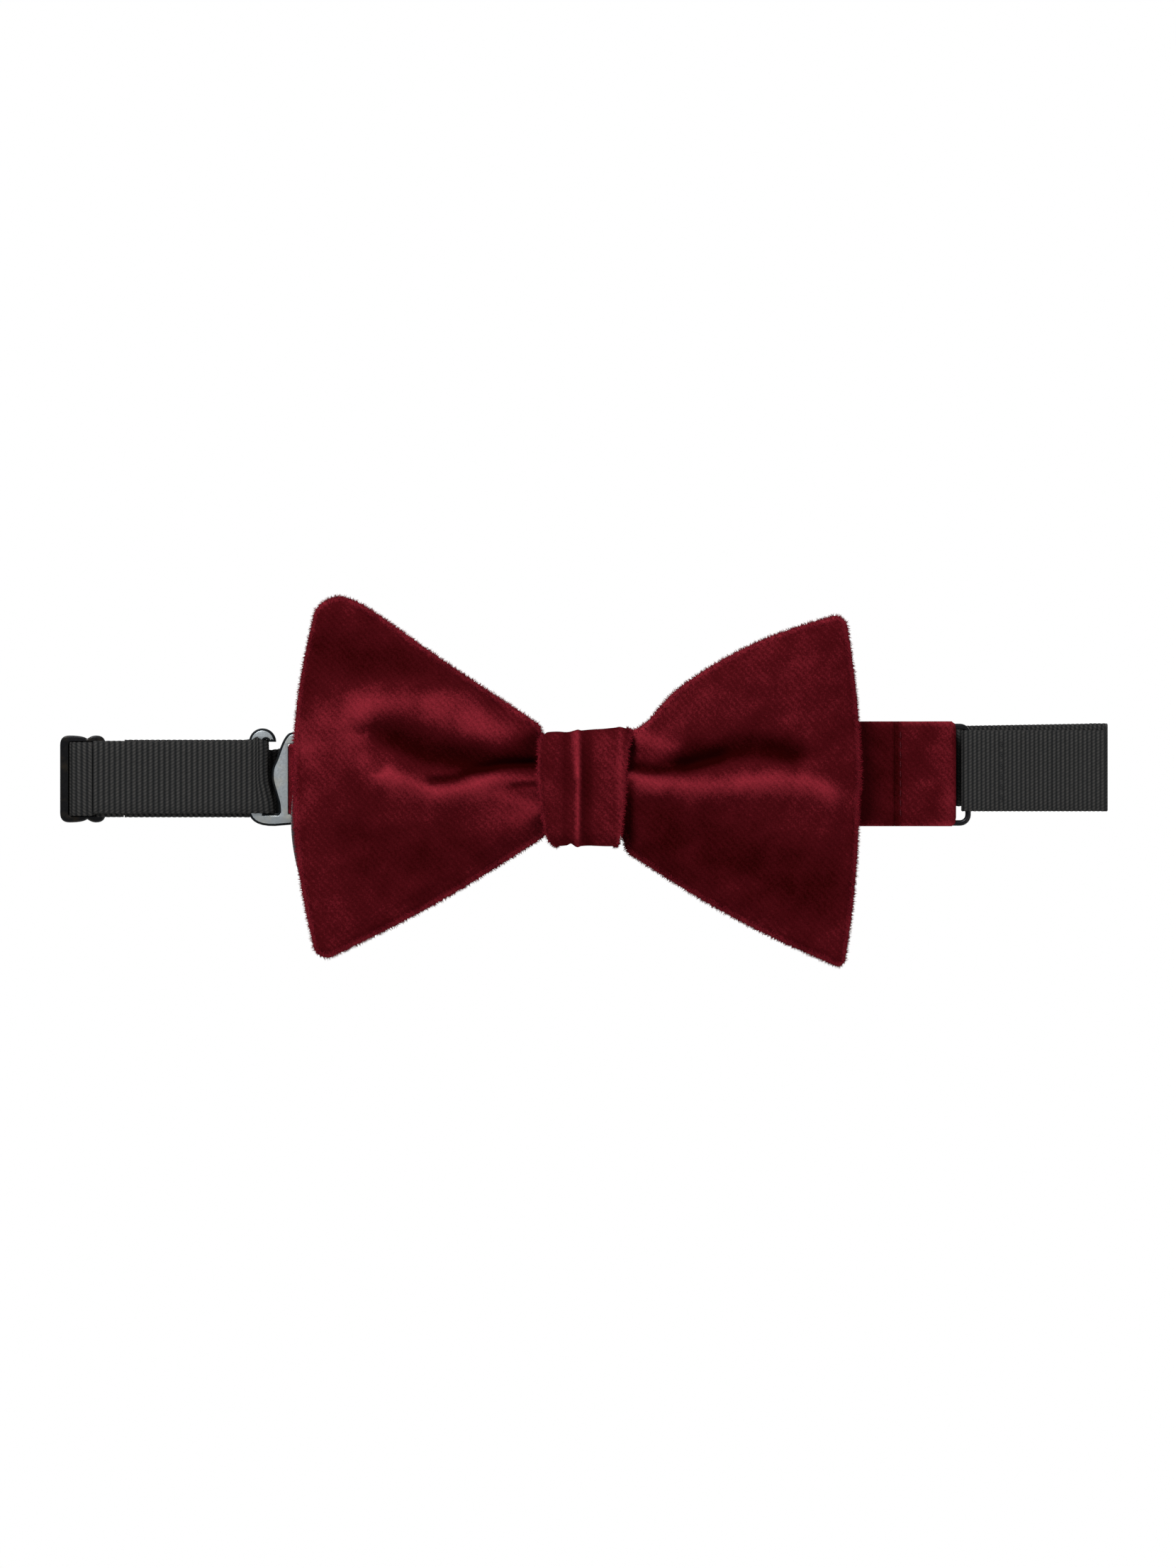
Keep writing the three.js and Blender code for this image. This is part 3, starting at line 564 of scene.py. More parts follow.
@dataclass
class Recipe:
    """A Geometry Nodes tree with named inputs, and what it makes of a piece."""

    name: str
    sizes: dict[str, tuple[Socket, Any]]
    tree: bpy.types.NodeTree = field(init=False)
    given: bpy.types.Node = field(init=False)

    def __post_init__(self) -> None:
        """Makes the tree with its inputs and its output."""
        self.tree = bpy.data.node_groups.new(self.name, "GeometryNodeTree")
        face = self.tree.interface
        face.new_socket("Geometry", in_out="INPUT", socket_type="NodeSocketGeometry")
        face.new_socket("Geometry", in_out="OUTPUT", socket_type="NodeSocketGeometry")
        for key, (kind, _) in self.sizes.items():
            face.new_socket(key, in_out="INPUT", socket_type=kind.value)
        self.given = add_node(self.tree, "NodeGroupInput")

    def size(self, key: str) -> bpy.types.NodeSocket:
        """The socket of one named input."""
        return self.given.outputs[key]

    def finish(self, geometry: bpy.types.NodeSocket, finish: Finish) -> None:
        """Ends the tree: real geometry with its material."""
        real = add_node(self.tree, "GeometryNodeRealizeInstances", inputs={"Geometry": geometry})
        dressed = add_node(self.tree, "GeometryNodeSetMaterial", inputs={
            "Geometry": real.outputs[0], "Material": finish.material()})
        add_node(self.tree, "NodeGroupOutput", inputs={"Geometry": dressed.outputs[0]})

    def make(self, name: str, base: bpy.types.Object, **values: Any) -> bpy.types.Object:
        """Runs the tree on a piece and returns the result as a plain mesh object.

        Args:
            name: The new piece's name.
            base: The piece that the tree works on. It is removed afterwards.
            values: Sizes that differ from the recipe's own, by input name.

        Returns:
            The new piece.
        """
        modifier = base.modifiers.new(self.name, "NODES")
        modifier.node_group = self.tree
        for item in self.tree.interface.items_tree:
            if item.in_out == "INPUT" and item.name in self.sizes:
                modifier[item.identifier] = values.get(item.name, self.sizes[item.name][1])
        bpy.context.view_layer.update()
        graph = bpy.context.evaluated_depsgraph_get()
        mesh = bpy.data.meshes.new_from_object(base.evaluated_get(graph), depsgraph=graph)
        base.modifiers.remove(modifier)
        bpy.data.objects.remove(base)
        mesh.name = name
        piece = bpy.data.objects.new(name, mesh)
        bpy.context.scene.collection.objects.link(piece)
        return piece


def rib_recipe() -> Recipe:
    """Raises cords on a ribbon, from its 'along' distance in millimetres."""
    recipe = Recipe("grosgrain cords", {
        "Pitch": (Socket.NUMBER, 1.0), "Depth": (Socket.NUMBER, 0.13 * MM)})
    tree = recipe.tree
    along = add_node(tree, "GeometryNodeInputNamedAttribute", {"data_type": "FLOAT"}, {"Name": "along"})
    face = add_node(tree, "GeometryNodeInputNamedAttribute", {"data_type": "FLOAT"}, {"Name": "face"})
    turns = add_node(tree, "ShaderNodeMath", {"operation": "DIVIDE"}, {
        0: along.outputs["Attribute"], 1: recipe.size("Pitch")})
    angle = add_node(tree, "ShaderNodeMath", {"operation": "MULTIPLY"}, {0: turns.outputs[0], 1: math.pi})
    wave = add_node(tree, "ShaderNodeMath", {"operation": "SINE"}, {0: angle.outputs[0]})
    hump = add_node(tree, "ShaderNodeMath", {"operation": "ABSOLUTE"}, {0: wave.outputs[0]})
    height = add_node(tree, "ShaderNodeMath", {"operation": "POWER"}, {0: hump.outputs[0], 1: 0.7})
    stored = add_node(tree, "GeometryNodeStoreNamedAttribute", {"data_type": "FLOAT", "domain": "POINT"}, {
        "Geometry": recipe.size("Geometry"), "Name": "rib", "Value": height.outputs[0]})
    centred = add_node(tree, "ShaderNodeMath", {"operation": "SUBTRACT"}, {0: height.outputs[0], 1: 0.5})
    scaled = add_node(tree, "ShaderNodeMath", {"operation": "MULTIPLY"}, {
        0: centred.outputs[0], 1: recipe.size("Depth")})
    weighted = add_node(tree, "ShaderNodeMath", {"operation": "MULTIPLY"}, {
        0: scaled.outputs[0], 1: face.outputs["Attribute"]})
    normal = add_node(tree, "GeometryNodeInputNormal")
    offset = add_node(tree, "ShaderNodeVectorMath", {"operation": "SCALE"}, {
        0: normal.outputs[0], "Scale": weighted.outputs[0]})
    moved = add_node(tree, "GeometryNodeSetPosition", inputs={
        "Geometry": stored.outputs[0], "Offset": offset.outputs[0]})
    recipe.finish(moved.outputs[0], GROSGRAIN)
    return recipe


def stitch_recipe(name: str, finish: Finish) -> Recipe:
    """A row of thread stitches that rise out of the cloth and dive back in."""
    recipe = Recipe(name, {
        "Start": (Socket.PLACE, (0, 0, 0)), "Step": (Socket.PLACE, (0, 0, 1)),
        "Count": (Socket.WHOLE, 5), "Length": (Socket.NUMBER, 1.6 * MM),
        "Width": (Socket.NUMBER, 0.26 * MM), "Seed": (Socket.WHOLE, 3)})
    tree = recipe.tree
    row = add_node(tree, "GeometryNodeMeshLine", {"mode": "OFFSET"}, {
        "Count": recipe.size("Count"), "Start Location": recipe.size("Start"),
        "Offset": recipe.size("Step")})
    ball = add_node(tree, "GeometryNodeMeshUVSphere", inputs={"Segments": 8, "Rings": 6, "Radius": 0.5})
    size = add_node(tree, "ShaderNodeCombineXYZ", inputs={
        "X": recipe.size("Width"), "Y": recipe.size("Width"), "Z": recipe.size("Length")})
    sized = add_node(tree, "GeometryNodeTransform", inputs={
        "Geometry": ball.outputs[0], "Scale": size.outputs[0]})
    lean = add_node(tree, "FunctionNodeRandomValue", {"data_type": "FLOAT_VECTOR"}, {
        0: (-0.02, -0.12, -0.1), 1: (0.02, 0.12, 0.1), "Seed": recipe.size("Seed")})
    rows = add_node(tree, "GeometryNodeInstanceOnPoints", inputs={
        "Points": row.outputs[0], "Instance": sized.outputs[0], "Rotation": lean.outputs[0]})
    smooth = add_node(tree, "GeometryNodeSetShadeSmooth", inputs={"Geometry": rows.outputs[0]})
    recipe.finish(smooth.outputs[0], finish)
    return recipe


def pile_recipe() -> Recipe:
    """Single pile fibres that stand out along the rims, where 'rim' is set on the velvet."""
    recipe = Recipe("pile fringe", {
        "Density": (Socket.NUMBER, 8.0 / MM**2), "Length": (Socket.NUMBER, 0.95 * MM),
        "Width": (Socket.NUMBER, 0.1 * MM), "Seed": (Socket.WHOLE, 11)})
    tree = recipe.tree
    rim = add_node(tree, "GeometryNodeInputNamedAttribute", {"data_type": "FLOAT"}, {"Name": "rim"})
    near = add_node(tree, "FunctionNodeCompare", {"operation": "GREATER_THAN"}, {
        0: rim.outputs["Attribute"], 1: 0.5})
    spots = add_node(tree, "GeometryNodeDistributePointsOnFaces", inputs={
        "Mesh": recipe.size("Geometry"), "Selection": near.outputs[0],
        "Density": recipe.size("Density"), "Seed": recipe.size("Seed")})
    fibre = add_node(tree, "GeometryNodeMeshCone", {"fill_type": "NGON"}, {
        "Vertices": 3, "Radius Top": 0.0, "Radius Bottom": recipe.size("Width"),
        "Depth": recipe.size("Length")})
    long = add_node(tree, "FunctionNodeRandomValue", {"data_type": "FLOAT"}, {
        2: 0.35, 3: 1.0, "Seed": recipe.size("Seed")})
    planted = add_node(tree, "GeometryNodeInstanceOnPoints", inputs={
        "Points": spots.outputs["Points"], "Instance": fibre.outputs["Mesh"],
        "Rotation": spots.outputs["Rotation"], "Scale": long.outputs[1]})
    tilt = add_node(tree, "FunctionNodeRandomValue", {"data_type": "FLOAT_VECTOR"}, {
        0: (-0.9, -0.9, 0.0), 1: (0.9, 0.9, 6.2), "Seed": recipe.size("Seed")})
    leaning = add_node(tree, "GeometryNodeRotateInstances", inputs={
        "Instances": planted.outputs[0], "Rotation": tilt.outputs[0]})
    recipe.finish(leaning.outputs[0], PILE)
    return recipe


# ---- Soft shapes ------------------------------------------------------------------------------


@dataclass(frozen=True)
class Fold:
    """A fold in cloth along a line: a crest if its height is positive, else a hollow.

    Attributes:
        points: The line, as places across and up the front, in millimetres.
        width: How far it reaches above the line.
        height: How far it stands out.
        nap: How much lighter the pile is painted along it, or darker where negative: painted highlight and
            painted shade.
        under: How far it reaches below the line, as a share of width.
    """

    points: Points
    width: float
    height: float
    nap: float = 0.0
    under: float = 1.0

    def share(self, x: np.ndarray, z: np.ndarray) -> np.ndarray:
        """How strongly each place feels the fold, from 0 to 1."""
        line = smooth_path(self.points, 60)
        gaps = np.hypot(x[..., None] - line[:, 0], z[..., None] - line[:, 1])
        nearest = gaps.argmin(axis=-1)
        gap = gaps.min(axis=-1)
        below = z < line[nearest, 1]
        reach = np.where(below, self.width * self.under, self.width)
        return np.exp(-((gap / reach) ** 2))


@dataclass(frozen=True)
class Tip:
    """One tip of a wing, as in the CAD part: its place, its rounding and the long edge to it."""

    x: float
    z: float
    round_x: float
    round_z: float
    throat: float
    bow: float


@dataclass(frozen=True)
class WingOutline:
    """The outline of a wing, as in the CAD part."""

    side: int
    top: Tip
    bottom: Tip
    bulge: float
    throat_x: float
    swell: float = 0.0  # how much fuller the long upper edge is near its tip
    dip: float = 0.0  # how late the long upper edge starts to climb beside the knot
    pinch_top: float = 6.4
    pinch_bottom: float = -12.7
    pinch_half_gap: float = 0.8
    knot_share: float = 0.2
    throat_share: float = 0.03
    corner_start: float = 0.75

    def edge(self, level: np.ndarray) -> tuple[np.ndarray, np.ndarray]:
        """The outer edge: level runs from -1 at the low tip to 1 at the high one."""
        high = level >= 0
        way = np.where(high, 1.0, -1.0)
        pick = lambda name: np.where(high, getattr(self.top, name), getattr(self.bottom, name))
        along = np.minimum(np.abs(level) / self.corner_start, 1)
        turn = np.maximum((np.abs(level) - self.corner_start) / (1 - self.corner_start), 0) * math.pi / 2
        middle = (self.top.z + self.bottom.z) / 2
        shoulder = pick("z") - way * pick("round_z")
        x = pick("x") + self.bulge * (1 - along**2) - pick("round_x") * (1 - np.cos(turn))
        z = lerp(middle, shoulder, along) + way * pick("round_z") * np.sin(turn)
        return x, z

    def place(self, u: np.ndarray, v: np.ndarray, share: float = 1.0, peek: float = 0.0) -> tuple:
        """X and Z on the wing: u runs from the knot's middle outwards and v from low to high."""
        middle = (self.top.z + self.bottom.z) / 2
        in_knot = np.minimum(u / self.knot_share, 1)
        out = np.maximum((u - self.knot_share) / (1 - self.knot_share), 0)
        inner_x = lerp(self.pinch_half_gap, self.throat_x, in_knot)
        opening = smoothstep(out, 0, self.throat_share)
        low = lerp(self.pinch_bottom, self.bottom.throat, opening)
        high = lerp(self.pinch_top, self.top.throat, opening)
        edge_x, edge_z = self.edge(2 * v - 1)
        reach = edge_x * share + peek * np.exp(-(((v - 0.36) / 0.2) ** 2))
        x = lerp(inner_x, reach, out)
        straight = lerp(lerp(low, high, v), middle + (edge_z - middle) * share, out)
        bow = lerp(self.bottom.bow, self.top.bow, v) * np.sin(math.pi * out)
        upper = self.swell * 20 * out**6 * (1 - out) - self.dip * np.exp(-(((out - 0.11) / 0.09) ** 2))
        return self.side * x, straight + bow + upper * v**3


@dataclass
class Pad:
    """A closed soft pad on a wing's outline, with rounded rims."""

    outline: WingOutline
    back: float
    front: float
    rim: float
    share: float = 1.0
    peek: float = 0.0
    columns: int = 110
    rows: int = 130
    inset: tuple[float, float] = (0.0, 0.0)

    def grid(self) -> tuple[np.ndarray, np.ndarray]:
        """u and v of every grid point, closer together near the rims."""
        s = np.linspace(0, 1, self.columns)
        t = np.linspace(0, 1, self.rows)
        u = lerp(s, np.sin(s * math.pi / 2), 0.55)
        v = lerp(t, (1 - np.cos(t * math.pi)) / 2, 0.75)
        return np.meshgrid(self.inner(u, self.inset[0]), self.inner(v, self.inset[1]), indexing="ij")

    @staticmethod
    def inner(value: np.ndarray, inset: float) -> np.ndarray:
        """Squeezes 0..1 so that it stays inset from both ends."""
        return lerp(inset, 1 - inset, value)

    def from_rim(self, x: np.ndarray, z: np.ndarray) -> np.ndarray:
        """Distance of each place from the outline, in millimetres."""
        t = np.linspace(0, 1, 260)
        sides = [(t, 0 * t), (t, 0 * t + 1), (0 * t + 1, t), (0 * t, t)]
        edge = np.hstack([np.array(self.outline.place(
            self.inner(u, self.inset[0]), self.inner(v, self.inset[1]), self.share, self.peek))
            for u, v in sides])
        gaps = [np.hypot(row_x[:, None] - edge[0], row_z[:, None] - edge[1]).min(axis=1)
                for row_x, row_z in zip(x, z)]
        return np.array(gaps)

    def build(self, name: str, finish: Finish, relief: Callable | None = None,
              nap: Callable | None = None) -> bpy.types.Object:
        """Makes the pad.

        Args:
            name: The piece's name.
            finish: The finish it wears.
            relief: Height to add on the front, from x, z, u and v.
            nap: The pile's painted light and shade, from x, z, u, v and the relief.

        Returns:
            The new piece.
        """
        u, v = self.grid()
        x, z = self.outline.place(u, v, self.share, self.peek)
        gap = self.from_rim(x, z)
        gap[0, :] = gap[-1, :] = gap[:, 0] = gap[:, -1] = 0
        roll = np.sqrt(1 - (1 - np.clip(gap / self.rim, 0, 1)) ** 2)
        extra = relief(x, z, u, v) if relief else np.zeros_like(x)
        middle = (self.front + self.back) / 2
        settle = smoothstep(gap, 0, 2.2 * self.rim)
        front = lerp(middle, self.front, roll) - extra * settle
        rear = lerp(middle, self.back, roll)
        # The pile's painted light and shade from the folds, then a painted highlight along the rims.
        shade = nap(x, z, u, v, extra) if nap else np.full_like(x, 0.45)
        shade = shade + 0.34 * (1 - smoothstep(gap, 0.2, 1.5)) if nap else shade
        near_rim = (gap < 0.55 * self.rim).astype(float)
        columns, rows = x.shape
        number = np.arange(columns * rows).reshape(columns, rows)
        inside = np.zeros((columns, rows), bool)
        inside[1:-1, 1:-1] = True
        back_number = number.copy()
        back_number[inside] = columns * rows + np.arange(inside.sum())
        points = np.vstack([
            np.stack([x, front, z], axis=-1).reshape(-1, 3),
            np.stack([x, rear, z], axis=-1)[inside]])
        quads = lambda n: np.stack([n[:-1, :-1], n[1:, :-1], n[1:, 1:], n[:-1, 1:]], axis=-1).reshape(-1, 4)
        faces = np.vstack([quads(number), quads(back_number)[:, ::-1]])
        if self.outline.side < 0:
            faces = faces[:, ::-1]
        dull = np.full(int(inside.sum()), 0.4)
        values = np.concatenate([shade.ravel(), dull])
        rims = np.concatenate([near_rim.ravel(), near_rim[inside]])
        return make_piece(name, points, faces, finish, nap=values, rim=rims)


@dataclass
class Strip:
    """A strip of ribbon or cloth standing on edge along a line in X and Y, as a closed mesh."""

    line: np.ndarray
    thickness: float
    low: Callable[[np.ndarray], np.ndarray]
    high: Callable[[np.ndarray], np.ndarray]
    step: float = 0.8
    across: int = 8
    start: float = 0.0

    def length(self) -> float:
        """The strip's length in millimetres."""
        return path_length(self.line)

    def build(self, name: str, finish: Finish, scallop: float = 0.0, pitch: float = 1.0,
              shape: Callable | None = None, nap: Callable | None = None) -> bpy.types.Object:
        """Makes the strip.

        Args:
            name: The piece's name.
            finish: The finish it wears.
            scallop: How far each cord bulges at the edges.
            pitch: Distance between cords.
            shape: Moves the points: takes and returns an array of points, with their offsets.
            nap: The pile's painted light and shade, from the points and their offsets.

        Returns:
            The new piece.
        """
        count = max(int(round(self.length() / self.step)) + 1, 3)
        line = resample(self.line, count)
        along = self.start + np.linspace(0, self.length(), count)
        tangent = np.gradient(line, axis=0)
        tangent /= np.linalg.norm(tangent, axis=1)[:, None]
        normal = np.stack([-tangent[:, 1], tangent[:, 0]], axis=1)
        half = self.thickness / 2
        bulge = scallop * np.abs(np.sin(math.pi * along / pitch)) ** 0.7
        low = self.low(line[:, 0]) + half - bulge
        high = self.high(line[:, 0]) - half + bulge
        flat = np.linspace(0, 1, self.across)
        angles = np.linspace(0, math.pi, 6)[1:-1]
        ring = [(1.0, w, 0.0, 1.0) for w in flat]
        ring += [(math.cos(a), 1.0, math.sin(a), 0.3) for a in angles]
        ring += [(-1.0, w, 0.0, 1.0) for w in flat[::-1]]
        ring += [(-math.cos(a), 0.0, -math.sin(a), 0.3) for a in angles]
        out, wide, tip, face = np.array(ring).T
        z = low[:, None] + (high - low)[:, None] * wide + half * tip
        side = half * out
        rings = np.stack([
            line[:, 0, None] + normal[:, 0, None] * side,
            line[:, 1, None] + normal[:, 1, None] * side,
            z], axis=-1)
        if shape:
            rings = shape(rings, along[:, None] + 0 * z, side[None, :] + 0 * z)
        points, faces = loft(rings)
        uv = np.stack([along[:, None] + 0 * z, z], axis=-1).reshape(-1, 2)
        extra = {"along": (along[:, None] + 0 * z).ravel(), "face": (face[None, :] + 0 * z).ravel()}
        if nap:
            extra["nap"] = nap(rings, side[None, :] + 0 * z).ravel()
        piece = make_piece(name, points, faces, finish, uv=uv, **extra)
        face_outwards(piece)
        return piece


def level(value: float) -> Callable[[np.ndarray], np.ndarray]:
    """A height that is the same all along a strip."""
    return lambda x: np.full_like(x, value)


# ---- Bow --------------------------------------------------------------------------------------


@dataclass
class Wing:
    """One wing of the bow: a velvet pad over its interlining, with a lined layer behind it."""

    name: str
    outline: WingOutline
    folds: tuple[Fold, ...]
    peek: float = 0.0
    crown: float = 4.6
    # The pile's tone before the folds' painted light and shade.
    base_nap: float = 0.42
    seed: int = 5
    layer_share: float = 0.965
    interlining_share: float = 0.95

    def relief(self, x: np.ndarray, z: np.ndarray, u: np.ndarray, v: np.ndarray) -> np.ndarray:
        """How far the front stands out beyond the rim's front."""
        swell = self.crown * np.sin(math.pi * np.clip(v, 0, 1)) ** 0.8 * (1 - u**2.4)
        pinch = 1 - smoothstep(u, self.outline.knot_share, 0.42)
        height = lerp(swell, self.crown * 0.75, pinch)
        for fold in self.folds:
            height = height + fold.height * fold.share(x, z)
        return height + 0.16 * ripple(x, z, 9.0, self.seed)

    def nap(self, x: np.ndarray, z: np.ndarray, u: np.ndarray, v: np.ndarray,
            relief: np.ndarray) -> np.ndarray:
        """The pile's painted light and shade: the folds' painted highlight and shade on a base value, with a
        little random tone.
        """
        shade = np.full_like(x, self.base_nap)
        for fold in self.folds:
            shade = shade + fold.nap * fold.share(x, z)
        return shade + 0.04 * ripple(x, z, 5.0, self.seed + 1)

    def build(self) -> None:
        """Makes the wing's pad, its fringe of pile, its interlining and the layer behind it."""
        face, back = span(f"wing_{self.name}_face"), span(f"wing_{self.name}_back")
        core, layer = span(f"wing_{self.name}_interlining"), span(f"rear_layer_{self.name}")
        rim_front = face[1][1] - 2.4
        pad = Pad(self.outline, back[1][1], rim_front, 2.3)
        piece = pad.build(f"wing_{self.name}", VELVET, self.relief, self.nap)
        ride("bow", piece)
        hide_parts(f"wing_{self.name}_face", f"wing_{self.name}_back")

        seedling = piece.copy()
        seedling.data = piece.data.copy()
        bpy.context.scene.collection.objects.link(seedling)
        fringe = pile_recipe().make(f"wing_{self.name}_pile", seedling)
        ride("bow", fringe)

        core_pad = Pad(self.outline, core[1][1], core[0][1], 0.4, self.interlining_share, 0.0, 40, 40,
                       (0.02, 0.06))
        lining = core_pad.build(f"wing_{self.name}_core", INTERLINING)
        ride("bow", lining)
        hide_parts(f"wing_{self.name}_interlining")

        rear_pad = Pad(self.outline, layer[1][1], layer[0][1], 0.9, self.layer_share, self.peek, 70, 80,
                       (0.0, 0.04))
        rear = rear_pad.build(f"rear_{self.name}", LINING)
        ride("bow", rear)
        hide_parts(f"rear_layer_{self.name}")


@dataclass
class Knot:
    """The velvet strip wrapped round the bow's middle."""

    corner: float = 4.0
    wall: float = 1.3
    around: int = 220
    across: int = 72
    left_edge: Points = ((-15.3, -5.4), (-14.4, -6.6), (-12.6, -7.4), (-6.0, -8.4), (0.0, -9.0), (7.0, -8.7))
    right_edge: Points = ((-15.3, 7.8), (-12.0, 8.6), (-6.0, 9.2), (0.0, 9.5), (5.0, 10.0), (8.6, 10.8))
    top_edge: Points = ((-8.6, -1.4), (-7.0, -0.2), (-0.5, 0.1), (8.0, 0.9), (9.8, 0.7), (10.8, -0.2))
    inner_half: float = 6.6
    # Each fold's last number paints the wrap's light and shade: painted highlight on crests, painted shade
    # in hollows.
    folds: tuple[Fold, ...] = (
        Fold(((-0.7, 14), (-0.4, 4), (-0.5, -6), (-0.6, -20)), 0.65, 0.75, 0.34),
        Fold(((-1.5, 8.5), (-1.2, 4), (-0.7, -0.5)), 0.7, 0.4, 0.25),
        Fold(((1.0, 14), (1.3, 4), (1.3, -6), (1.0, -20)), 1.0, -1.0, -0.18),
        Fold(((5.4, 14), (5.6, 0), (5.2, -20)), 2.6, 0.35, 0.08),
        Fold(((8.3, 14), (8.5, 0), (8.2, -20)), 0.8, 0.35, 0.22),
        Fold(((-5.2, 14), (-5.4, 0), (-5.0, -20)), 2.4, 0.3, 0.04),
        Fold(((-3.0, 14), (-2.9, 0), (-3.1, -20)), 0.8, -0.3, -0.1),
    )

    def build(self) -> None:
        """Makes the wrap, its fringe of pile, its stitches and the hidden layers inside."""
        low, high = span("knot_wrap")
        front = low[1] + 0.9
        spine = self.outline(front, high[1], low[2] + 0.1, high[2])
        tangent = np.roll(spine, -1, axis=0) - np.roll(spine, 1, axis=0)
        tangent /= np.linalg.norm(tangent, axis=1)[:, None]
        out = np.stack([-tangent[:, 1], tangent[:, 0]], axis=1)
        x_low = np.interp(spine[:, 1], *np.array(self.left_edge).T)
        x_high = np.interp(spine[:, 1], *np.array(self.right_edge).T)
        half = self.wall / 2
        turns = np.linspace(0, math.pi, 7)[1:-1]
        ring = [(w, 1.0, 0.0) for w in np.linspace(0, 1, self.across)]
        ring += [(1.0, math.cos(a), math.sin(a)) for a in turns]
        ring += [(w, -1.0, 0.0) for w in np.linspace(1, 0, 16)]
        ring += [(0.0, -math.cos(a), -math.sin(a)) for a in turns]
        wide, side, tip = np.array(ring).T
        x = lerp(x_low[:, None] + half, x_high[:, None] - half, wide) + half * tip
        z = spine[:, 1, None] + 0 * x
        relief, shade = np.zeros_like(x), np.full_like(x, 0.4)
        on_front = smoothstep(-spine[:, 0], -front - 6, -front)[:, None]
        over = 0.05 + 0.95 * on_front
        for fold in self.folds:
            share = fold.share(x, z)
            relief += fold.height * share * over
            shade += fold.nap * share * over
        relief += 0.14 * ripple(x, z, 5.0, 21)
        relief *= np.clip(side, 0, 1)
        from_side = np.minimum(x - x.min(axis=1)[:, None], x.max(axis=1)[:, None] - x)
        # Painted highlight along the wrap's side edges.
        shade += 0.25 * (1 - smoothstep(from_side, 0.1, 0.9))
        push = half * (side - 1) + relief
        rise = np.interp(x, *np.array(self.top_edge).T) * smoothstep(z, 2.0, high[2])
        notch = 0.5 * np.exp(-(((x + 2.0) / 0.6) ** 2)) * (1 - smoothstep(z, low[2], low[2] + 3))
        rings = np.stack([x, spine[:, 0, None] + out[:, 0, None] * push,
                          spine[:, 1, None] + out[:, 1, None] * push + rise + notch], axis=-1)
        points, faces = loft(rings, closed=True)
        rim = (np.minimum(wide, 1 - wide)[None, :] + 0 * x < 0.02).astype(float)
        wrap = make_piece("knot", points, faces, VELVET, nap=shade.ravel(), rim=rim.ravel())
        face_outwards(wrap)
        ride("bow", wrap)
        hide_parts("knot_wrap")

        seedling = wrap.copy()
        seedling.data = wrap.data.copy()
        bpy.context.scene.collection.objects.link(seedling)
        fringe = pile_recipe().make("knot_pile", seedling)
        ride("bow", fringe)
        self.line(front, high[1], low[2], high[2])
        RED_THREAD.on(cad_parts["binding_thread"])
        stitch_row("knot_back_seam", "knot_back_stitches", "bow", RED_THREAD, 8)

    def line(self, front: float, back: float, bottom: float, top: float) -> None:
        """Makes the interlining sleeve inside the wrap, a little narrower than it."""
        inset, wall = self.wall + 0.3, 0.45
        outer = self.outline(front + inset, back - inset, bottom + inset, top - inset)
        deep = inset + wall
        inner = self.outline(front + deep, back - deep, bottom + deep, top - deep)
        sides = [(-self.inner_half, outer), (self.inner_half, outer), (self.inner_half, inner),
                 (-self.inner_half, inner)]
        rings = np.stack([np.column_stack([np.full(len(way), x), way]) for x, way in sides], axis=1)
        points, faces = loft(rings, closed=True)
        # The sleeve is coloured dark as painted shade for the inside of the wrap.
        sleeve = make_piece("knot_sleeve", points, faces, SHADED_KNOT_LINING, smooth=False)
        face_outwards(sleeve)
        ride("bow", sleeve)
        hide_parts("knot_interlining")

    def outline(self, front: float, back: float, bottom: float, top: float) -> np.ndarray:
        """The wrap's section in Y and Z: a rounded box, evenly spaced points."""
        r = self.corner
        section = arc(front + r, bottom + r, r, 270, 180) + arc(front + r, top - r, r, 180, 90)
        section += arc(back - r, top - r, r, 90, 0) + arc(back - r, bottom + r, r, 0, -90)
        section = np.array(section + section[:1])
        return resample(section, self.around + 1)[:-1]


def stitch_row(name: str, node: str, body: str, finish: Finish, count: int) -> None:
    """Sews a row of stitches up Z where a CAD node of stitches lies, and replaces the node.

    Args:
        name: The new piece's name.
        node: The CAD node that it stands for.
        body: The body it rides on.
        finish: The thread.
        count: How many stitches there are.
    """
    low, high = span(node)
    pitch = (high[2] - low[2]) / count
    middle = (low + high) / 2
    start = (middle[0], middle[1], low[2] + pitch / 2)
    base = make_piece(f"{name}_base", np.array([[0, 0, 0], [1, 0, 0], [0, 0, 1]]), [(0, 1, 2)], finish)
    recipe = stitch_recipe(f"{name} stitches", finish)
    piece = recipe.make(name, base, Start=tuple(c * MM for c in start), Step=(0, 0, pitch * MM),
                        Count=count, Length=pitch * 0.72 * MM)
    ride(body, piece)
    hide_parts(node)


# ---- Neckband ---------------------------------------------------------------------------------


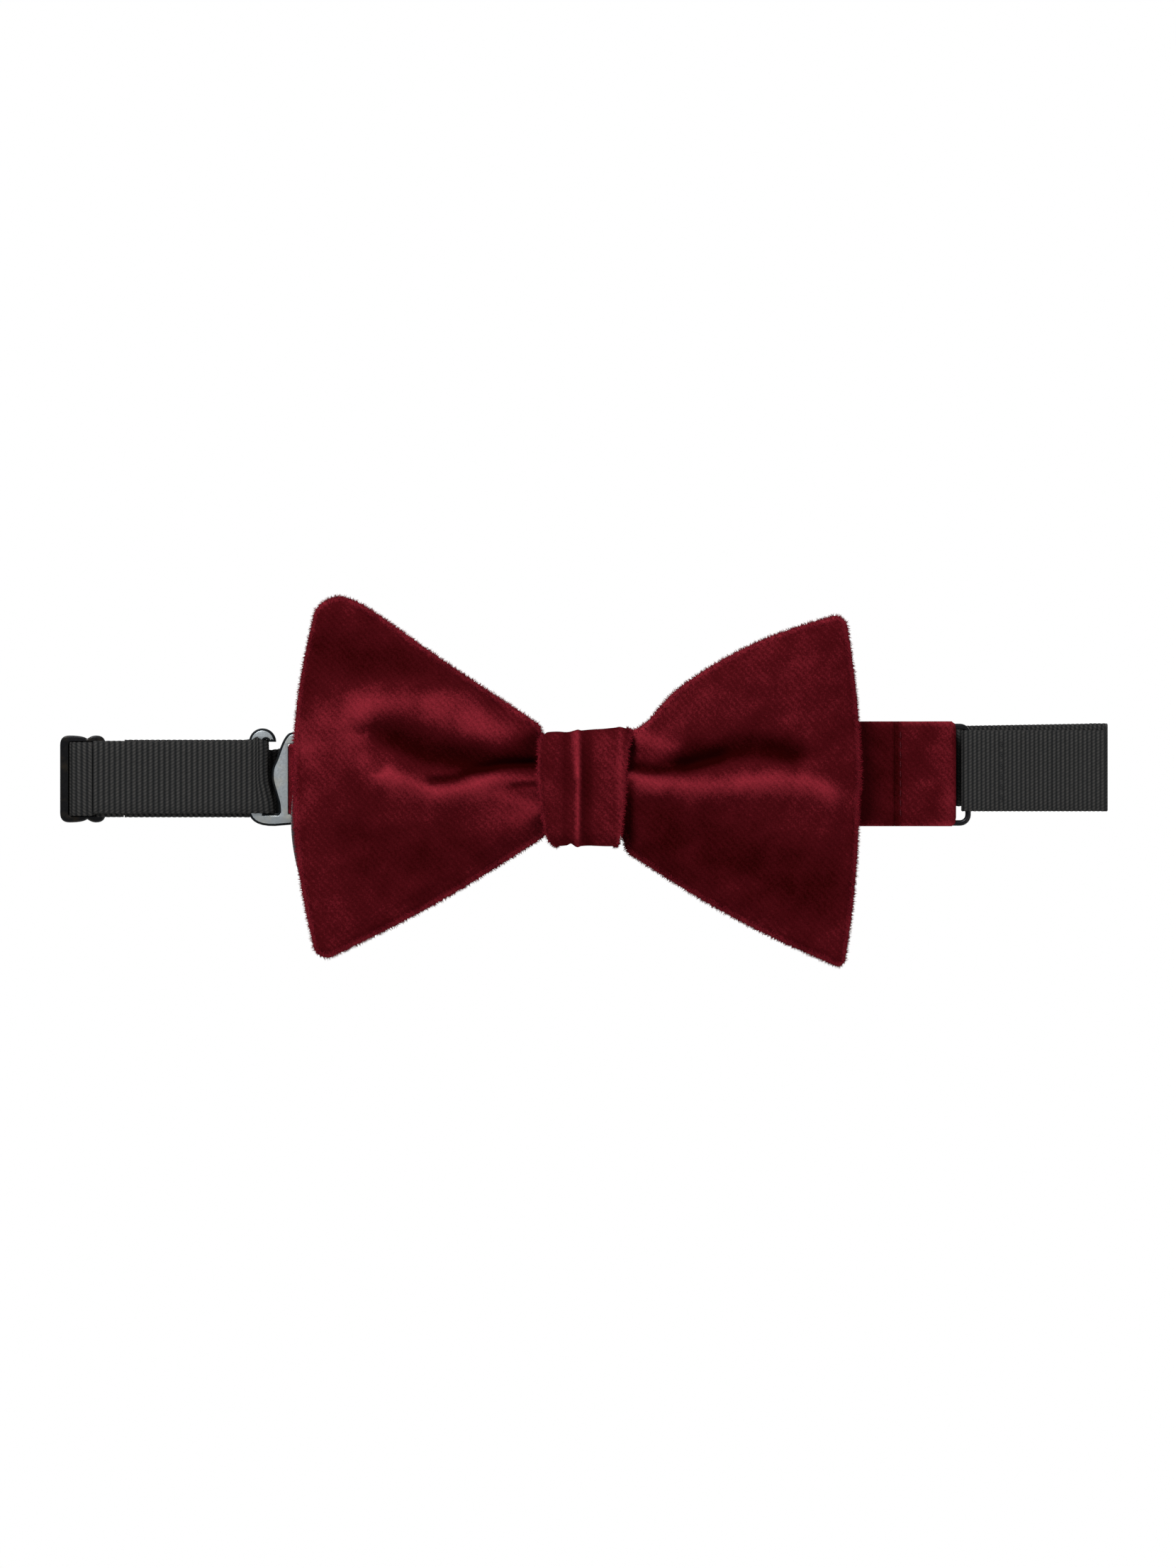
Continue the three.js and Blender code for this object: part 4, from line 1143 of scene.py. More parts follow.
@dataclass
class Neckband:
    """The velvet band round the collar: two layers on an interlining, hemmed at both ends."""

    velvet: float = 1.1
    hem_left: float = 15.0
    hem_right: float = 10.9
    turn_in: tuple[float, float] = (1.0, 0.4)
    wire_room: float = 9.15
    end_round: tuple[float, float] = (0.3, 0.7)
    flare_start: float = 11.5
    flare_end: float = 25.0
    knot_top: float = 6.1
    knot_bottom: float = -11.4
    half_height: float = 11.1
    cut_share: float = 0.9  # the cloth's flat width, as a share of the hems' height
    edge_roll: float = 2.4
    roll_depth: float = 1.1
    wave: float = 0.13
    wire_half: float = 0.75
    # The band's tone, dark as painted shade where it lies under the bow.
    shade_under_bow: float = 0.25

    def edges(self) -> tuple[Callable, Callable]:
        """The band's low and high edge, as functions of X."""
        left, right = span("band_left_hem"), span("band_right_hem")
        start, end = left[0][0], right[1][0]
        wide = left[0][0] + self.hem_left + 4
        half = self.half_height
        stops = [start, wide, self.flare_start, self.flare_end,
                 end - self.turn_in[0], end - self.turn_in[1], end]
        near, last = half - self.end_round[0], half - self.end_round[1]
        high = [left[1][2], self.knot_top, self.knot_top, half, half, near, last]
        low = [left[0][2], self.knot_bottom, self.knot_bottom, -half, -half, -near, -last]
        return (lambda x: np.interp(x, stops, low)), (lambda x: np.interp(x, stops, high))

    def build(self) -> None:
        """Makes the band's layers, its interlining and its seams."""
        left, right = span("band_left_hem"), span("band_right_hem")
        back_y, front_y = right[1][1], right[0][1]
        middle_y, radius = (back_y + front_y) / 2, (back_y - front_y) / 2
        left_x, right_x = left[0][0] + radius, right[1][0] - radius
        turn = radius - self.velvet / 2
        low, high = self.edges()
        line = [(left_x + self.hem_left, middle_y - turn)]
        line += arc(left_x, middle_y, turn, 270, 90)
        line += arc(right_x, middle_y, turn, 90, -90)
        line += [(right_x - self.hem_right, middle_y - turn)]
        wrap = Strip(np.array(line), self.velvet, low, high, 0.55, 26)
        hug = lambda rings, along, side: self.pucker(rings, middle_y, low, high, (left_x, right_x))
        back = wrap.build("neckband_back", VELVET, shape=hug, nap=self.nap)
        self.declare(back, wrap.length(), "band_back", "band_left_hem", "band_right_hem")

        face_y = middle_y - turn
        edge_left = left_x + self.hem_left + 0.05
        edge_right = right_x - self.hem_right - 0.05
        face = Strip(np.array([(edge_left, face_y), (edge_right, face_y)]), self.velvet, low, high, 0.6, 26)
        front = face.build("neckband_front", VELVET, shape=hug, nap=self.nap)
        self.declare(front, face.length(), "band_face")

        core_low, core_high = span("band_interlining")
        core_y = (core_low[1] + core_high[1]) / 2
        core = Strip(np.array([(core_low[0], core_y), (core_high[0], core_y)]), core_high[1] - core_low[1],
                     lambda x: low(x) + self.edge_roll, lambda x: high(x) - self.edge_roll, 1.5, 10)
        lining = core.build("neckband_interlining", INTERLINING)
        ride("bow", lining)
        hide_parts("band_interlining")
        stitch_row("left_hem_seam", "left_hem_stitches", "bow", RED_THREAD, 6)
        stitch_row("right_hem_seam", "right_hem_stitches", "bow", RED_THREAD, 9)

    def declare(self, piece: bpy.types.Object, length: float, *nodes: str) -> None:
        """Sets one velvet layer on the bow and hides the CAD nodes it replaces."""
        ride("bow", piece)
        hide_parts(*nodes)

    def pucker(self, rings: np.ndarray, middle: float, low: Callable, high: Callable,
               ends: tuple[float, float]) -> np.ndarray:
        """Rolls the long edges together, waves the cloth a little and leaves room for the ring's wire."""
        x, y, z = rings[..., 0], rings[..., 1], rings[..., 2]
        gap = np.minimum(z - low(x), high(x) - z)
        between = smoothstep(x, ends[0] + 1, ends[0] + 6) * (1 - smoothstep(x, ends[1] - 6, ends[1] - 1.5))
        roll = 1 - np.sqrt(1 - (1 - np.clip(gap / self.edge_roll, 0, 1)) ** 2)
        closing = np.sign(middle - y) * self.roll_depth * roll * between
        wave = self.wave * ripple(x, z, 8.0, 33) * smoothstep(gap, 0.3, 3.0) * between
        at_wire = 1 - smoothstep(np.abs(y - middle), self.wire_half, self.wire_half + 0.5)
        crossing = smoothstep(x, ends[1] + 0.6, ends[1] + 1.3) * at_wire
        limit = lerp(self.half_height, self.wire_room, crossing)
        return np.stack([x, y + closing + wave, np.clip(z, -limit, limit)], axis=-1)

    def nap(self, rings: np.ndarray, side: np.ndarray) -> np.ndarray:
        """Painted shade darkens the band under the bow and painted highlight lightens its rims and the fold
        at its right end. It is lighter right of the seam, where the pile lies the other way, lighter towards
        the left hem, and darker in a line at the seam.
        """
        low, high = self.edges()
        x, z = rings[..., 0], rings[..., 2]
        gap = np.minimum(z - low(x), high(x) - z)
        seam = span("band_right_hem")[0][0]
        # Painted shade under the bow; right of the seam the pile lies the other way and shows lighter.
        shade = self.shade_under_bow + 0.14 * smoothstep(x, seam - 0.4, seam + 2.5)
        # Lighter towards the left hem; painted highlight on the fold at the right end.
        shade = shade + 0.3 * (1 - smoothstep(x, -62, -58)) + 0.16 * smoothstep(x, 73, 79)
        # A dark line at the seam.
        shade -= 0.2 * np.exp(-(((x - seam - 0.4) / 0.6) ** 2))
        # Painted highlight along the rims.
        return shade + 0.3 * (1 - smoothstep(gap, 0.1, 1.0)) + 0.05 * ripple(x, z, 4.0, 12)


# ---- Metal fittings ---------------------------------------------------------------------------


@dataclass
class Stamping:
    """A flat metal piece drawn in X and Z, with holes and rounded edges."""

    outer: list
    holes: list
    back: float
    thickness: float
    edge: float
    inset: float = 0.0

    def build(self, name: str, finish: Finish) -> bpy.types.Object:
        """Makes the piece as a filled curve with a bevel, turned into a mesh."""
        curve = bpy.data.curves.new(name, "CURVE")
        curve.dimensions = "2D"
        curve.fill_mode = "BOTH"
        for loop in [self.outer, *self.holes]:
            spline = curve.splines.new("POLY")
            spline.points.add(len(loop) - 1)
            for point, (x, z) in zip(spline.points, loop):
                point.co = (x * MM, z * MM, 0, 1)
            spline.use_cyclic_u = True
        curve.extrude = (self.thickness / 2 - self.edge) * MM
        curve.bevel_depth = self.edge * MM
        curve.bevel_resolution = 3
        curve.offset = -(self.edge + self.inset) * MM
        holder = bpy.data.objects.new(name, curve)
        bpy.context.scene.collection.objects.link(holder)
        graph = bpy.context.evaluated_depsgraph_get()
        mesh = bpy.data.meshes.new_from_object(holder.evaluated_get(graph), depsgraph=graph)
        bpy.data.objects.remove(holder)
        middle = (self.back - self.thickness / 2) * MM
        for vertex in mesh.vertices:
            x, z, depth = vertex.co
            vertex.co = Vector((x, middle - depth, z))
        piece = bpy.data.objects.new(name, mesh)
        bpy.context.scene.collection.objects.link(piece)
        mesh.materials.clear()
        mesh.materials.append(finish.material())
        face_outwards(piece)
        mesh.polygons.foreach_set("use_smooth", [True] * len(mesh.polygons))
        mesh.set_sharp_from_angle(angle=math.radians(40))
        return piece


@dataclass
class HookPlate:
    """The stamped plate that hooks into the strap's loop, sewn into the left hem.

    The side of its body is given as places right of the hook bar's left side and up the front.
    """

    finger_radius: float = 2.85
    finger_width: float = 1.6
    eye: float = 0.5
    hook_bar: float = 3.4
    side: Points = ((9.6, 8.85), (8.5, 8.5), (7.6, 7.4), (6.9, 5.9), (5.9, 3.2), (5.0, 1.0), (4.95, -1.3),
                    (5.6, -3.8), (6.3, -6.3), (6.45, -8.0))
    rim: float = 0.48

    def build(self) -> None:
        """Makes the black plated body and the satin face on it."""
        low, high = span("hook_plate")
        strap_low, strap_high = span("ribbon_left_front")
        hem_low, hem_high = span("band_left_hem")
        bar_left = low[0]
        throat = bar_left + self.hook_bar
        top = self.side[0][1]
        foot = strap_low[2] + 0.42
        slot_left = hem_low[0] - 0.05
        slot_right = high[0] - 1.2
        finger_x, finger_z = bar_left + 0.15 + self.finger_radius, strap_high[2] + 0.15
        tip_left = finger_x + self.finger_radius - self.finger_width
        outer = arc(finger_x, finger_z, self.finger_radius, 0, 180, 24)
        outer += corner((bar_left, low[2] + 2.9), (bar_left + 0.4, low[2] - 0.5),
                        (bar_left + 5.6, low[2] - 0.35))
        outer += [(high[0], low[2] + 0.1), (high[0], top)]
        side = smooth_path(self.side, 40) + np.array([bar_left, 0.0])
        outer += [tuple(point) for point in side]
        outer += [(bar_left + 6.2, foot), (throat, foot), (throat, finger_z - 2 * self.eye)]
        outer += arc(tip_left - self.eye, finger_z, self.eye, 180, 0, 10)
        slot = self.slot(slot_left, slot_right, hem_low[2] + 0.02, hem_high[2] - 0.02)
        thickness = high[1] - low[1]
        plate = Stamping(outer, [slot], high[1], thickness, 0.2).build("hook", HOOK_RIM)
        cut = self.slot(slot_left + self.rim + 0.05, slot_right, hem_low[2] + 0.4, hem_high[2] - 0.4)
        face = Stamping(outer, [cut], low[1] + 0.25, 0.34, 0.08, self.rim).build("hook_face", HOOK_FACE)
        ride("hook_strap", plate, face)
        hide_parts("hook_plate")

    def slot(self, x0: float, x1: float, z0: float, z1: float) -> list:
        """The slot that takes the hem, drawn the other way round."""
        return [(x0, z0), (x0, z1), (x1, z1), (x1, z0)]


@dataclass
class Slider:
    """The cast frame that sets the strap's length: two slots and a dip between its lobes."""

    play: float = -0.05
    outer_bar: float = 1.9
    right_bar: float = 1.1
    left_slot: float = 2.9
    proud: float = 0.3
    rounding: float = 0.38
    face_sink: float = 0.14
    face_thick: float = 0.2
    face_round: float = 0.06
    face_inset: float = 0.26
    centre_bar: float = 1.3
    corner: float = 2.0
    notch: float = 0.7
    lobe: float = 0.9

    def build(self) -> None:
        """Makes the frame and the raised face on it, whose warm patches paint the highlight line along the
        bars.
        """
        low, high = span("slider")
        x0, x1, z0, z1 = low[0] - self.proud, high[0], low[2], high[2]
        centre = x0 + self.proud + self.outer_bar + self.left_slot
        waist = centre + self.centre_bar / 2
        c = self.corner
        outer = corner((x0, z0 + c), (x0, z0), (x0 + c, z0))
        outer += corner((x0 + c, z0), (waist - self.lobe, z0), (waist, z0 + self.notch))[1:]
        outer += corner((waist, z0 + self.notch), (waist + self.lobe, z0), (x1 - c, z0))[1:]
        outer += corner((x1 - c, z0), (x1, z0), (x1, z0 + c))[1:]
        outer += corner((x1, z1 - c), (x1, z1), (x1 - c, z1))
        outer += corner((x1 - c, z1), (waist + self.lobe, z1), (waist, z1 - self.notch))[1:]
        outer += corner((waist, z1 - self.notch), (waist - self.lobe, z1), (x0 + c, z1))[1:]
        outer += corner((x0 + c, z1), (x0, z1), (x0, z1 - c))[1:]
        strap_low, strap_high = span("ribbon_left_front")
        a0, a1 = strap_low[2] - self.play, strap_high[2] + self.play
        holes = [self.slot(x0 + self.outer_bar, centre, a0, a1),
                 self.slot(centre + self.centre_bar, x1 - self.right_bar, a0, a1)]
        thickness = high[1] - low[1]
        frame_shape = Stamping(outer, holes, high[1], thickness, self.rounding)
        casting = frame_shape.build("slider_frame", BLACK_NICKEL)
        ride("slider", casting)
        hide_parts("slider")
        # The face's bevel catches real light; its warm patches are painted highlight for the brownish line
        # along the bars.
        highlighted = Stamping(outer, holes, low[1] + self.face_sink, self.face_thick, self.face_round,
                          self.face_inset)
        face = highlighted.build("slider_face", SLIDER_FACE)
        ride("slider", face)

    def slot(self, x0: float, x1: float, z0: float, z1: float, r: float = 0.4) -> list:
        """A slot with slightly rounded corners, drawn the other way round."""
        return (arc(x0 + r, z0 + r, r, 270, 180, 4) + arc(x0 + r, z1 - r, r, 180, 90, 4)
                + arc(x1 - r, z1 - r, r, 90, 0, 4) + arc(x1 - r, z0 + r, r, 0, -90, 4))


@dataclass
class Ring:
    """The bent wire ring that joins the right strap to the band."""

    corner: float = 2.3
    sides: int = 14

    def build(self) -> None:
        """Sweeps the wire round its rounded frame."""
        low, high = span("ring")
        wire = (high[1] - low[1]) / 2
        r = self.corner - wire
        x0, x1, z0, z1 = low[0] + wire, high[0] - wire, low[2] + wire, high[2] - wire
        route = arc(x0 + r, z0 + r, r, 270, 180, 8) + arc(x0 + r, z1 - r, r, 180, 90, 8)
        route += arc(x1 - r, z1 - r, r, 90, 0, 8) + arc(x1 - r, z0 + r, r, 0, -90, 8)
        line = resample(np.array(route + route[:1]), 121)[:-1]
        tangent = np.roll(line, -1, axis=0) - np.roll(line, 1, axis=0)
        tangent /= np.linalg.norm(tangent, axis=1)[:, None]
        side = np.stack([tangent[:, 1], -tangent[:, 0]], axis=1)
        angles = np.linspace(0, 2 * math.pi, self.sides, endpoint=False)
        middle = (low[1] + high[1]) / 2
        rings = np.stack([
            line[:, 0, None] + side[:, 0, None] * wire * np.cos(angles),
            middle + wire * np.sin(angles)[None, :] + 0 * line[:, 0, None],
            line[:, 1, None] + side[:, 1, None] * wire * np.cos(angles)], axis=-1)
        points, faces = loft(rings, closed=True)
        piece = make_piece("wire_ring", points, faces, RING_WIRE)
        face_outwards(piece)
        ride("ring", piece)
        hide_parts("ring")


# ---- Ribbon strap -----------------------------------------------------------------------------


@dataclass
class Ribbon:
    """Grosgrain ribbon that is cut into stretches which meet where the strap folds."""

    width: float
    thickness: float
    pitch: float
    depth: float
    recipe: Recipe

    def stretch(self, name: str, line: Sequence, low: Callable, high: Callable, start: float = 0.0,
                shape: Callable | None = None) -> tuple[bpy.types.Object, float]:
        """Weaves one stretch.

        Args:
            name: The piece's name.
            line: Its centre line in X and Y.
            low: Its low edge as a function of X.
            high: Its high edge as a function of X.
            start: How far along the ribbon it starts, which keeps the cords in step.
            shape: Moves its points, as for a strip.

        Returns:
            The piece and how far along the ribbon it ends.
        """
        route = np.array(line, float)
        strip = Strip(route, self.thickness - self.depth, low, high, self.pitch / 8, 8, start)
        base = strip.build(f"{name}_base", GROSGRAIN, scallop=0.07, pitch=self.pitch, shape=shape)
        piece = self.recipe.make(name, base, Pitch=self.pitch, Depth=self.depth * MM)
        piece.data.polygons.foreach_set("use_smooth", [True] * len(piece.data.polygons))
        return piece, start + strip.length()


@dataclass
class LeftStrap:
    """The adjustable side: round the hook, sewn to the slider, and back behind the bow."""

    pitch: float = 1.16
    depth: float = 0.18
    grip: float = 2.5
    lap: float = 0.3  # how far a stretch runs on past the one it joins
    bar_clear: float = 1.55  # from the frame's end to the ribbon that turns on its bar
    sewn_spread: float = 0.3
    blend_clear: float = 0.15
    dip_centre: float = 4.5
    dip_reach: float = 6.5
    dip_low: float = 0.5
    dip_high: float = 2.1
    finger_x: float = -67.8
    finger_reach: float = 1.6
    finger_lift: float = 0.9
    back_drop: float = -0.85
    back_rise: float = 0.3
    waist: Points = ((-8.8, 0.25), (-6.0, 0.0), (-1.2, -1.1), (1.0, -1.15), (5.0, -1.1), (6.9, -1.2))
    recipe: Recipe = field(default_factory=rib_recipe)

    def build(self) -> None:
        """Makes the stretches and their stitches."""
        front_low, front_high = span("ribbon_left_front")
        _, turn_high = span("ribbon_slider_turn")
        sewn_low, sewn_high = span("ribbon_sewn_end")
        middle_low, middle_high = span("ribbon_left_middle")
        _, rear_high = span("ribbon_rear_left")
        z0, z1 = front_low[2], front_high[2]
        thick = middle_high[1] - middle_low[1]
        half = thick / 2
        ribbon = Ribbon(z1 - z0, thick, self.pitch, self.depth, self.recipe)
        front_y, back_y = front_low[1] + half, front_high[1] - half
        loop_y = middle_low[1] + half
        radius = (sewn_high[1] - sewn_low[1]) / 2 - half
        middle_y = (sewn_high[1] + sewn_low[1]) / 2
        loop_front = middle_y - radius
        hook_x = front_high[0] - half - radius
        turn_x = turn_high[0] + self.lap
        rear_y = turn_high[1] - half
        turn_r = (rear_y - front_y) / 2
        turn_y = (rear_y + front_y) / 2
        cut = turn_x + self.grip
        ramp = sewn_high[0] + 5
        route = [(cut, front_y), (sewn_high[0] + 0.5, front_y), (ramp, (front_y + loop_front) / 2 - 0.1),
                 (ramp + 5, loop_front)]
        route = [tuple(p) for p in smooth_path(route, 40)]
        route += arc(hook_x, middle_y, radius, -90, 90, 16)
        route += [(middle_high[0] + self.lap, back_y)]
        front, _ = ribbon.stretch("strap_left_front", route, level(z0 + 0.5), level(z1 + 0.25), 0.0,
                                  self.hug)
        self.declare(front, route, "hook_strap", ribbon, "ribbon_left_front")
        reach = hook_x - cut
        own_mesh(front)

        route = [(middle_high[0] + 0.8, loop_y), (middle_low[0], loop_y)]
        middle, _ = ribbon.stretch("strap_left_middle", route, level(z0 - 0.35), level(z1 + 0.55))
        self.declare(middle, route, "hook_strap", ribbon, "ribbon_left_middle")
        reach = middle_high[0] - middle_low[0]
        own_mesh(middle)

        route = [(sewn_high[0], loop_front)]
        route += arc(sewn_low[0] + half + radius, middle_y, radius, 270, 90, 14)
        route += [(sewn_high[0], middle_y + radius)]
        sewn, _ = ribbon.stretch("strap_sewn_end", route, level(z0 - self.sewn_spread),
                                 level(z1 + self.sewn_spread))
        self.declare(sewn, route, "slider", ribbon, "ribbon_sewn_end")

        reach = turn_x - (span("slider")[0][0] + self.bar_clear + half)
        bow = [(turn_x + (x - turn_x) * reach / turn_r, y)
               for x, y in arc(turn_x, turn_y, turn_r, 270, 90, 18)]
        route = [(cut, front_y)] + bow + [(cut, rear_y)]
        bend, along = ribbon.stretch("strap_slider_turn", route, level(z0), level(z1))
        self.declare(bend, route, None, ribbon, "ribbon_slider_turn")
        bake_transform(bend)

        lean, height = rear_slope()
        centre = lambda x: height + lean * x * smoothstep(x, cut, cut + 30) + (1 - smoothstep(
            x, cut, cut + 30)) * ((z0 + z1) / 2 - height)
        width = (z1 - z0) / 2
        hem = span("band_left_hem")[0][0]
        run_y = rear_high[1] - half
        route = [(cut, rear_y), (turn_x + 15, rear_y + 0.15), (hem - 12, rear_y + 0.65),
                 (hem - 2, run_y - 0.5), (hem + 8, run_y), (hem + 20, run_y), (-0.02, run_y)]
        route = [tuple(p) for p in smooth_path(route, 160)]
        dip = lambda x: np.exp(-(((x - hem + self.dip_centre) / self.dip_reach) ** 2))
        low = lambda x: centre(x) - width - self.dip_low * dip(x)
        high = lambda x: centre(x) + width - self.dip_high * dip(x)
        rear, _ = ribbon.stretch("strap_rear_left", route, low, high, along)
        self.declare(rear, route, "rear_left", ribbon, "ribbon_rear_left")
        reach = -cut
        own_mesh(rear)
        stitch_row("slider_seam", "sewn_end_stitches", "slider", BLACK_THREAD, 6)

    def hug(self, rings: np.ndarray, along: np.ndarray, side: np.ndarray) -> np.ndarray:
        """Lets the ribbon follow the hook: waisted at the fold and pushed up under the finger."""
        x, z = rings[..., 0], rings[..., 2]
        waist = np.interp(z, *np.array(self.waist).T) * smoothstep(x, -69.5, -66.0)
        near = np.exp(-(((x - self.finger_x) / self.finger_reach) ** 2))
        lift = self.finger_lift * near * smoothstep(z, 3.0, 6.6)
        spread = lerp(self.back_drop, self.back_rise, smoothstep(z, -8.8, 6.6))
        behind = smoothstep(rings[..., 1], -2.6, -1.4) * spread
        return rings + np.stack([waist, 0 * x, lift + behind], axis=-1)

    def declare(self, piece: bpy.types.Object, route: Sequence, body: str | None, ribbon: Ribbon,
                node: str) -> None:
        """Sets a stretch on its body, where it has one, and hides the CAD node it replaces."""
        if body:
            ride(body, piece)
        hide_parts(node)


def rear_slope() -> tuple[float, float]:
    """How the rear run leans, and its height behind the knot, from the CAD's right half."""
    right, front = span("ribbon_rear_right"), span("ribbon_right_front")
    tall = front[1][2] - front[0][2]
    lean = ((right[1][2] - right[0][2]) - tall) / (right[1][0] - right[0][0])
    return lean, right[0][2] + tall / 2


@dataclass
class RightStrap:
    """The fixed side: round the ring, sewn behind itself, folded and back behind the bow."""

    pitch: float = 0.93
    depth: float = 0.13
    fold_length: float = 11.0
    hem_length: float = 8.4
    fold_gap: float = 0.3
    blend_half: float = 0.06
    early: tuple[float, float] = (-0.3, 0.8)  # where the top edge climbs, from the turn
    late: tuple[float, float] = (1.4, 3.4)  # where the bottom edge does
    recipe: Recipe = field(default_factory=rib_recipe)

    def build(self) -> None:
        """Makes the stretches and their stitches."""
        front_low, front_high = span("ribbon_right_front")
        _, rear_high = span("ribbon_rear_right")
        thin = span("ribbon_left_middle")
        half = (thin[1][1] - thin[0][1]) / 2
        z0, z1 = front_low[2], front_high[2]
        ribbon = Ribbon(z1 - z0, 2 * half, self.pitch, self.depth, self.recipe)
        front_y, back_y = front_low[1] + half, front_high[1] - half
        radius, middle_y = (back_y - front_y) / 2, (back_y + front_y) / 2
        bar = front_low[0] + half + radius
        end = front_high[0]
        fold = end - self.fold_length
        hem_end = bar + self.hem_length
        run_y = rear_high[1] - half
        fold_y = front_y + 2 * half + self.fold_gap

        route = [(hem_end, back_y)] + arc(bar, middle_y, radius, 90, 270, 16) + [(fold, front_y)]
        front, along = ribbon.stretch("strap_right_front", route, level(z0), level(z1))
        ride("right_strap", front)
        self.declare(front, route, ribbon, "ribbon_right_front")

        lean, height = rear_slope()
        straight = (z0 + z1) / 2
        width = (z1 - z0) / 2
        bend_y, bend_r = (front_y + fold_y) / 2, (fold_y - front_y) / 2
        route = [(fold, front_y), (end, front_y)] + arc(end, bend_y, bend_r, -90, 90, 10) + [
            (end - 3.0, fold_y + 0.12)]
        offset = height + lean * end - straight
        turned = along + end - fold

        def climb(rings: np.ndarray, where: np.ndarray, side: np.ndarray) -> np.ndarray:
            """Lets the ribbon climb to the rear run's height as it folds over."""
            early = smoothstep(where, turned + self.early[0], turned + self.early[1])
            late = smoothstep(where, turned + self.late[0], turned + self.late[1])
            share = np.clip((rings[..., 2] - z0) / (z1 - z0), 0, 1)
            lift = offset * lerp(late, early, share)
            return rings + np.stack([0 * lift, 0 * lift, lift], axis=-1)

        bend, along = ribbon.stretch("strap_right_fold", route, level(z0), level(z1), along, climb)
        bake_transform(bend)
        self.declare(bend, route, ribbon)

        centre = lambda x: height + lean * x
        route = [(end - 3.0, fold_y + 0.12), (end - 6, fold_y + 0.5), (end - 10, fold_y + 1.6),
                 (hem_end + 4, run_y - 2.4), (bar + 1, run_y - 0.6), (bar - 8, run_y), (bar - 20, run_y),
                 (0.02, run_y)]
        route = [tuple(p) for p in smooth_path(route, 160)]
        rear, _ = ribbon.stretch("strap_rear_right", route, lambda x: centre(x) - width,
                                 lambda x: centre(x) + width, along)
        ride("rear_right", rear)
        self.declare(rear, route, ribbon, "ribbon_rear_right")
        stitch_row("ring_seam", "ring_loop_stitches", "right_strap", BLACK_THREAD, 6)

    def declare(self, piece: bpy.types.Object, route: Sequence, ribbon: Ribbon, *nodes: str) -> None:
        """Hides the CAD nodes that a stretch replaces, where any are given."""
        if nodes:
            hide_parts(*nodes)


# ---- Studio -----------------------------------------------------------------------------------


@dataclass
class Studio:
    """A white surround, soft lamps, a pale floor well below the tie, and the camera."""

    lens: float = 100.0
    sensor: float = 36.0
    view_height: float = 330.1
    eye_x: float = 1.57
    eye_z: float = -2.16
    focus_y: float = -6.0
    floor_z: float = -300.0
    floor_size: float = 800.0

    def lamp(self, name: str, place: tuple, aim: tuple, size: float, power: float) -> None:
        """Hangs one square lamp that points at a place; all in metres and watts."""
        light = bpy.data.lights.new(name, "AREA")
        light.size = size
        light.energy = power
        holder = bpy.data.objects.new(name, light)
        holder.location = place
        holder.rotation_euler = (Vector(aim) - Vector(place)).to_track_quat("-Z", "Y").to_euler()
        bpy.context.scene.collection.objects.link(holder)

    def build(self) -> None:
        """Sets up the camera, the light and the floor."""
        scene = bpy.context.scene
        camera = bpy.data.cameras.new("camera")
        camera.lens = self.lens
        camera.sensor_fit = "VERTICAL"
        camera.sensor_height = self.sensor
        camera.clip_start = 0.01
        eye = bpy.data.objects.new("camera", camera)
        away = self.view_height * self.lens / self.sensor
        eye.location = (self.eye_x * MM, (self.focus_y - away) * MM, self.eye_z * MM)
        eye.rotation_euler = (math.pi / 2, 0, 0)
        scene.collection.objects.link(eye)
        scene.camera = eye
        world = bpy.data.worlds.new("white surround")
        world.use_nodes = True
        backdrop = world.node_tree.nodes["Background"]
        backdrop.inputs["Color"].default_value = (1, 1, 1, 1)
        backdrop.inputs["Strength"].default_value = 1.0
        scene.world = world
        self.lamp("key", (-0.35, -0.75, 0.75), (0, 0, 0), 0.35, 26.0)
        self.lamp("fill", (0.7, -0.7, -0.15), (0, 0, 0), 0.6, 5.0)
        half = self.floor_size / 2
        corners = np.array([(-half, -half, self.floor_z), (half, -half, self.floor_z),
                            (half, half, self.floor_z), (-half, half, self.floor_z)])
        floor = make_piece("floor", corners, [(0, 1, 2, 3)], PALE_FLOOR, smooth=False)
        scene.view_settings.view_transform = "Standard"


@dataclass(frozen=True)
class Paper(Finish):
    """Matt white background paper: an even pale surface with a faint tooth."""

    colour: str = "#f4f3f1"
    shade: str = "#eeedea"

    def dress(self, tree: bpy.types.NodeTree, shader: bpy.types.Node) -> None:
        """Sets a barely uneven white."""
        place = add_node(tree, "ShaderNodeTexCoord").outputs["Object"]
        uneven = add_node(tree, "ShaderNodeTexNoise", inputs={"Vector": place, "Scale": 12.0, "Detail": 3.0})
        tree.links.new(mix_colour(tree, uneven.outputs["Fac"], linear(self.shade), linear(self.colour)),
                       shader.inputs["Base Color"])
        shader.inputs["Roughness"].default_value = 0.95
        shader.inputs["Specular IOR Level"].default_value = 0.1


PALE_FLOOR = Paper("background paper", "")

LEFT_OUTLINE = WingOutline(
    -1, Tip(56.1, 37.1, 5.9, 5.0, 9.4, 0.3), Tip(56.1, -38.6, 3.4, 3.1, -13.0, -1.2), 4.2, 7.4, swell=1.0)
RIGHT_OUTLINE = WingOutline(
    1, Tip(56.0, 33.1, 2.8, 2.8, 8.7, 3.6), Tip(55.6, -40.4, 1.7, 2.2, -15.7, -1.6), 2.8, 8.6, dip=2.2)
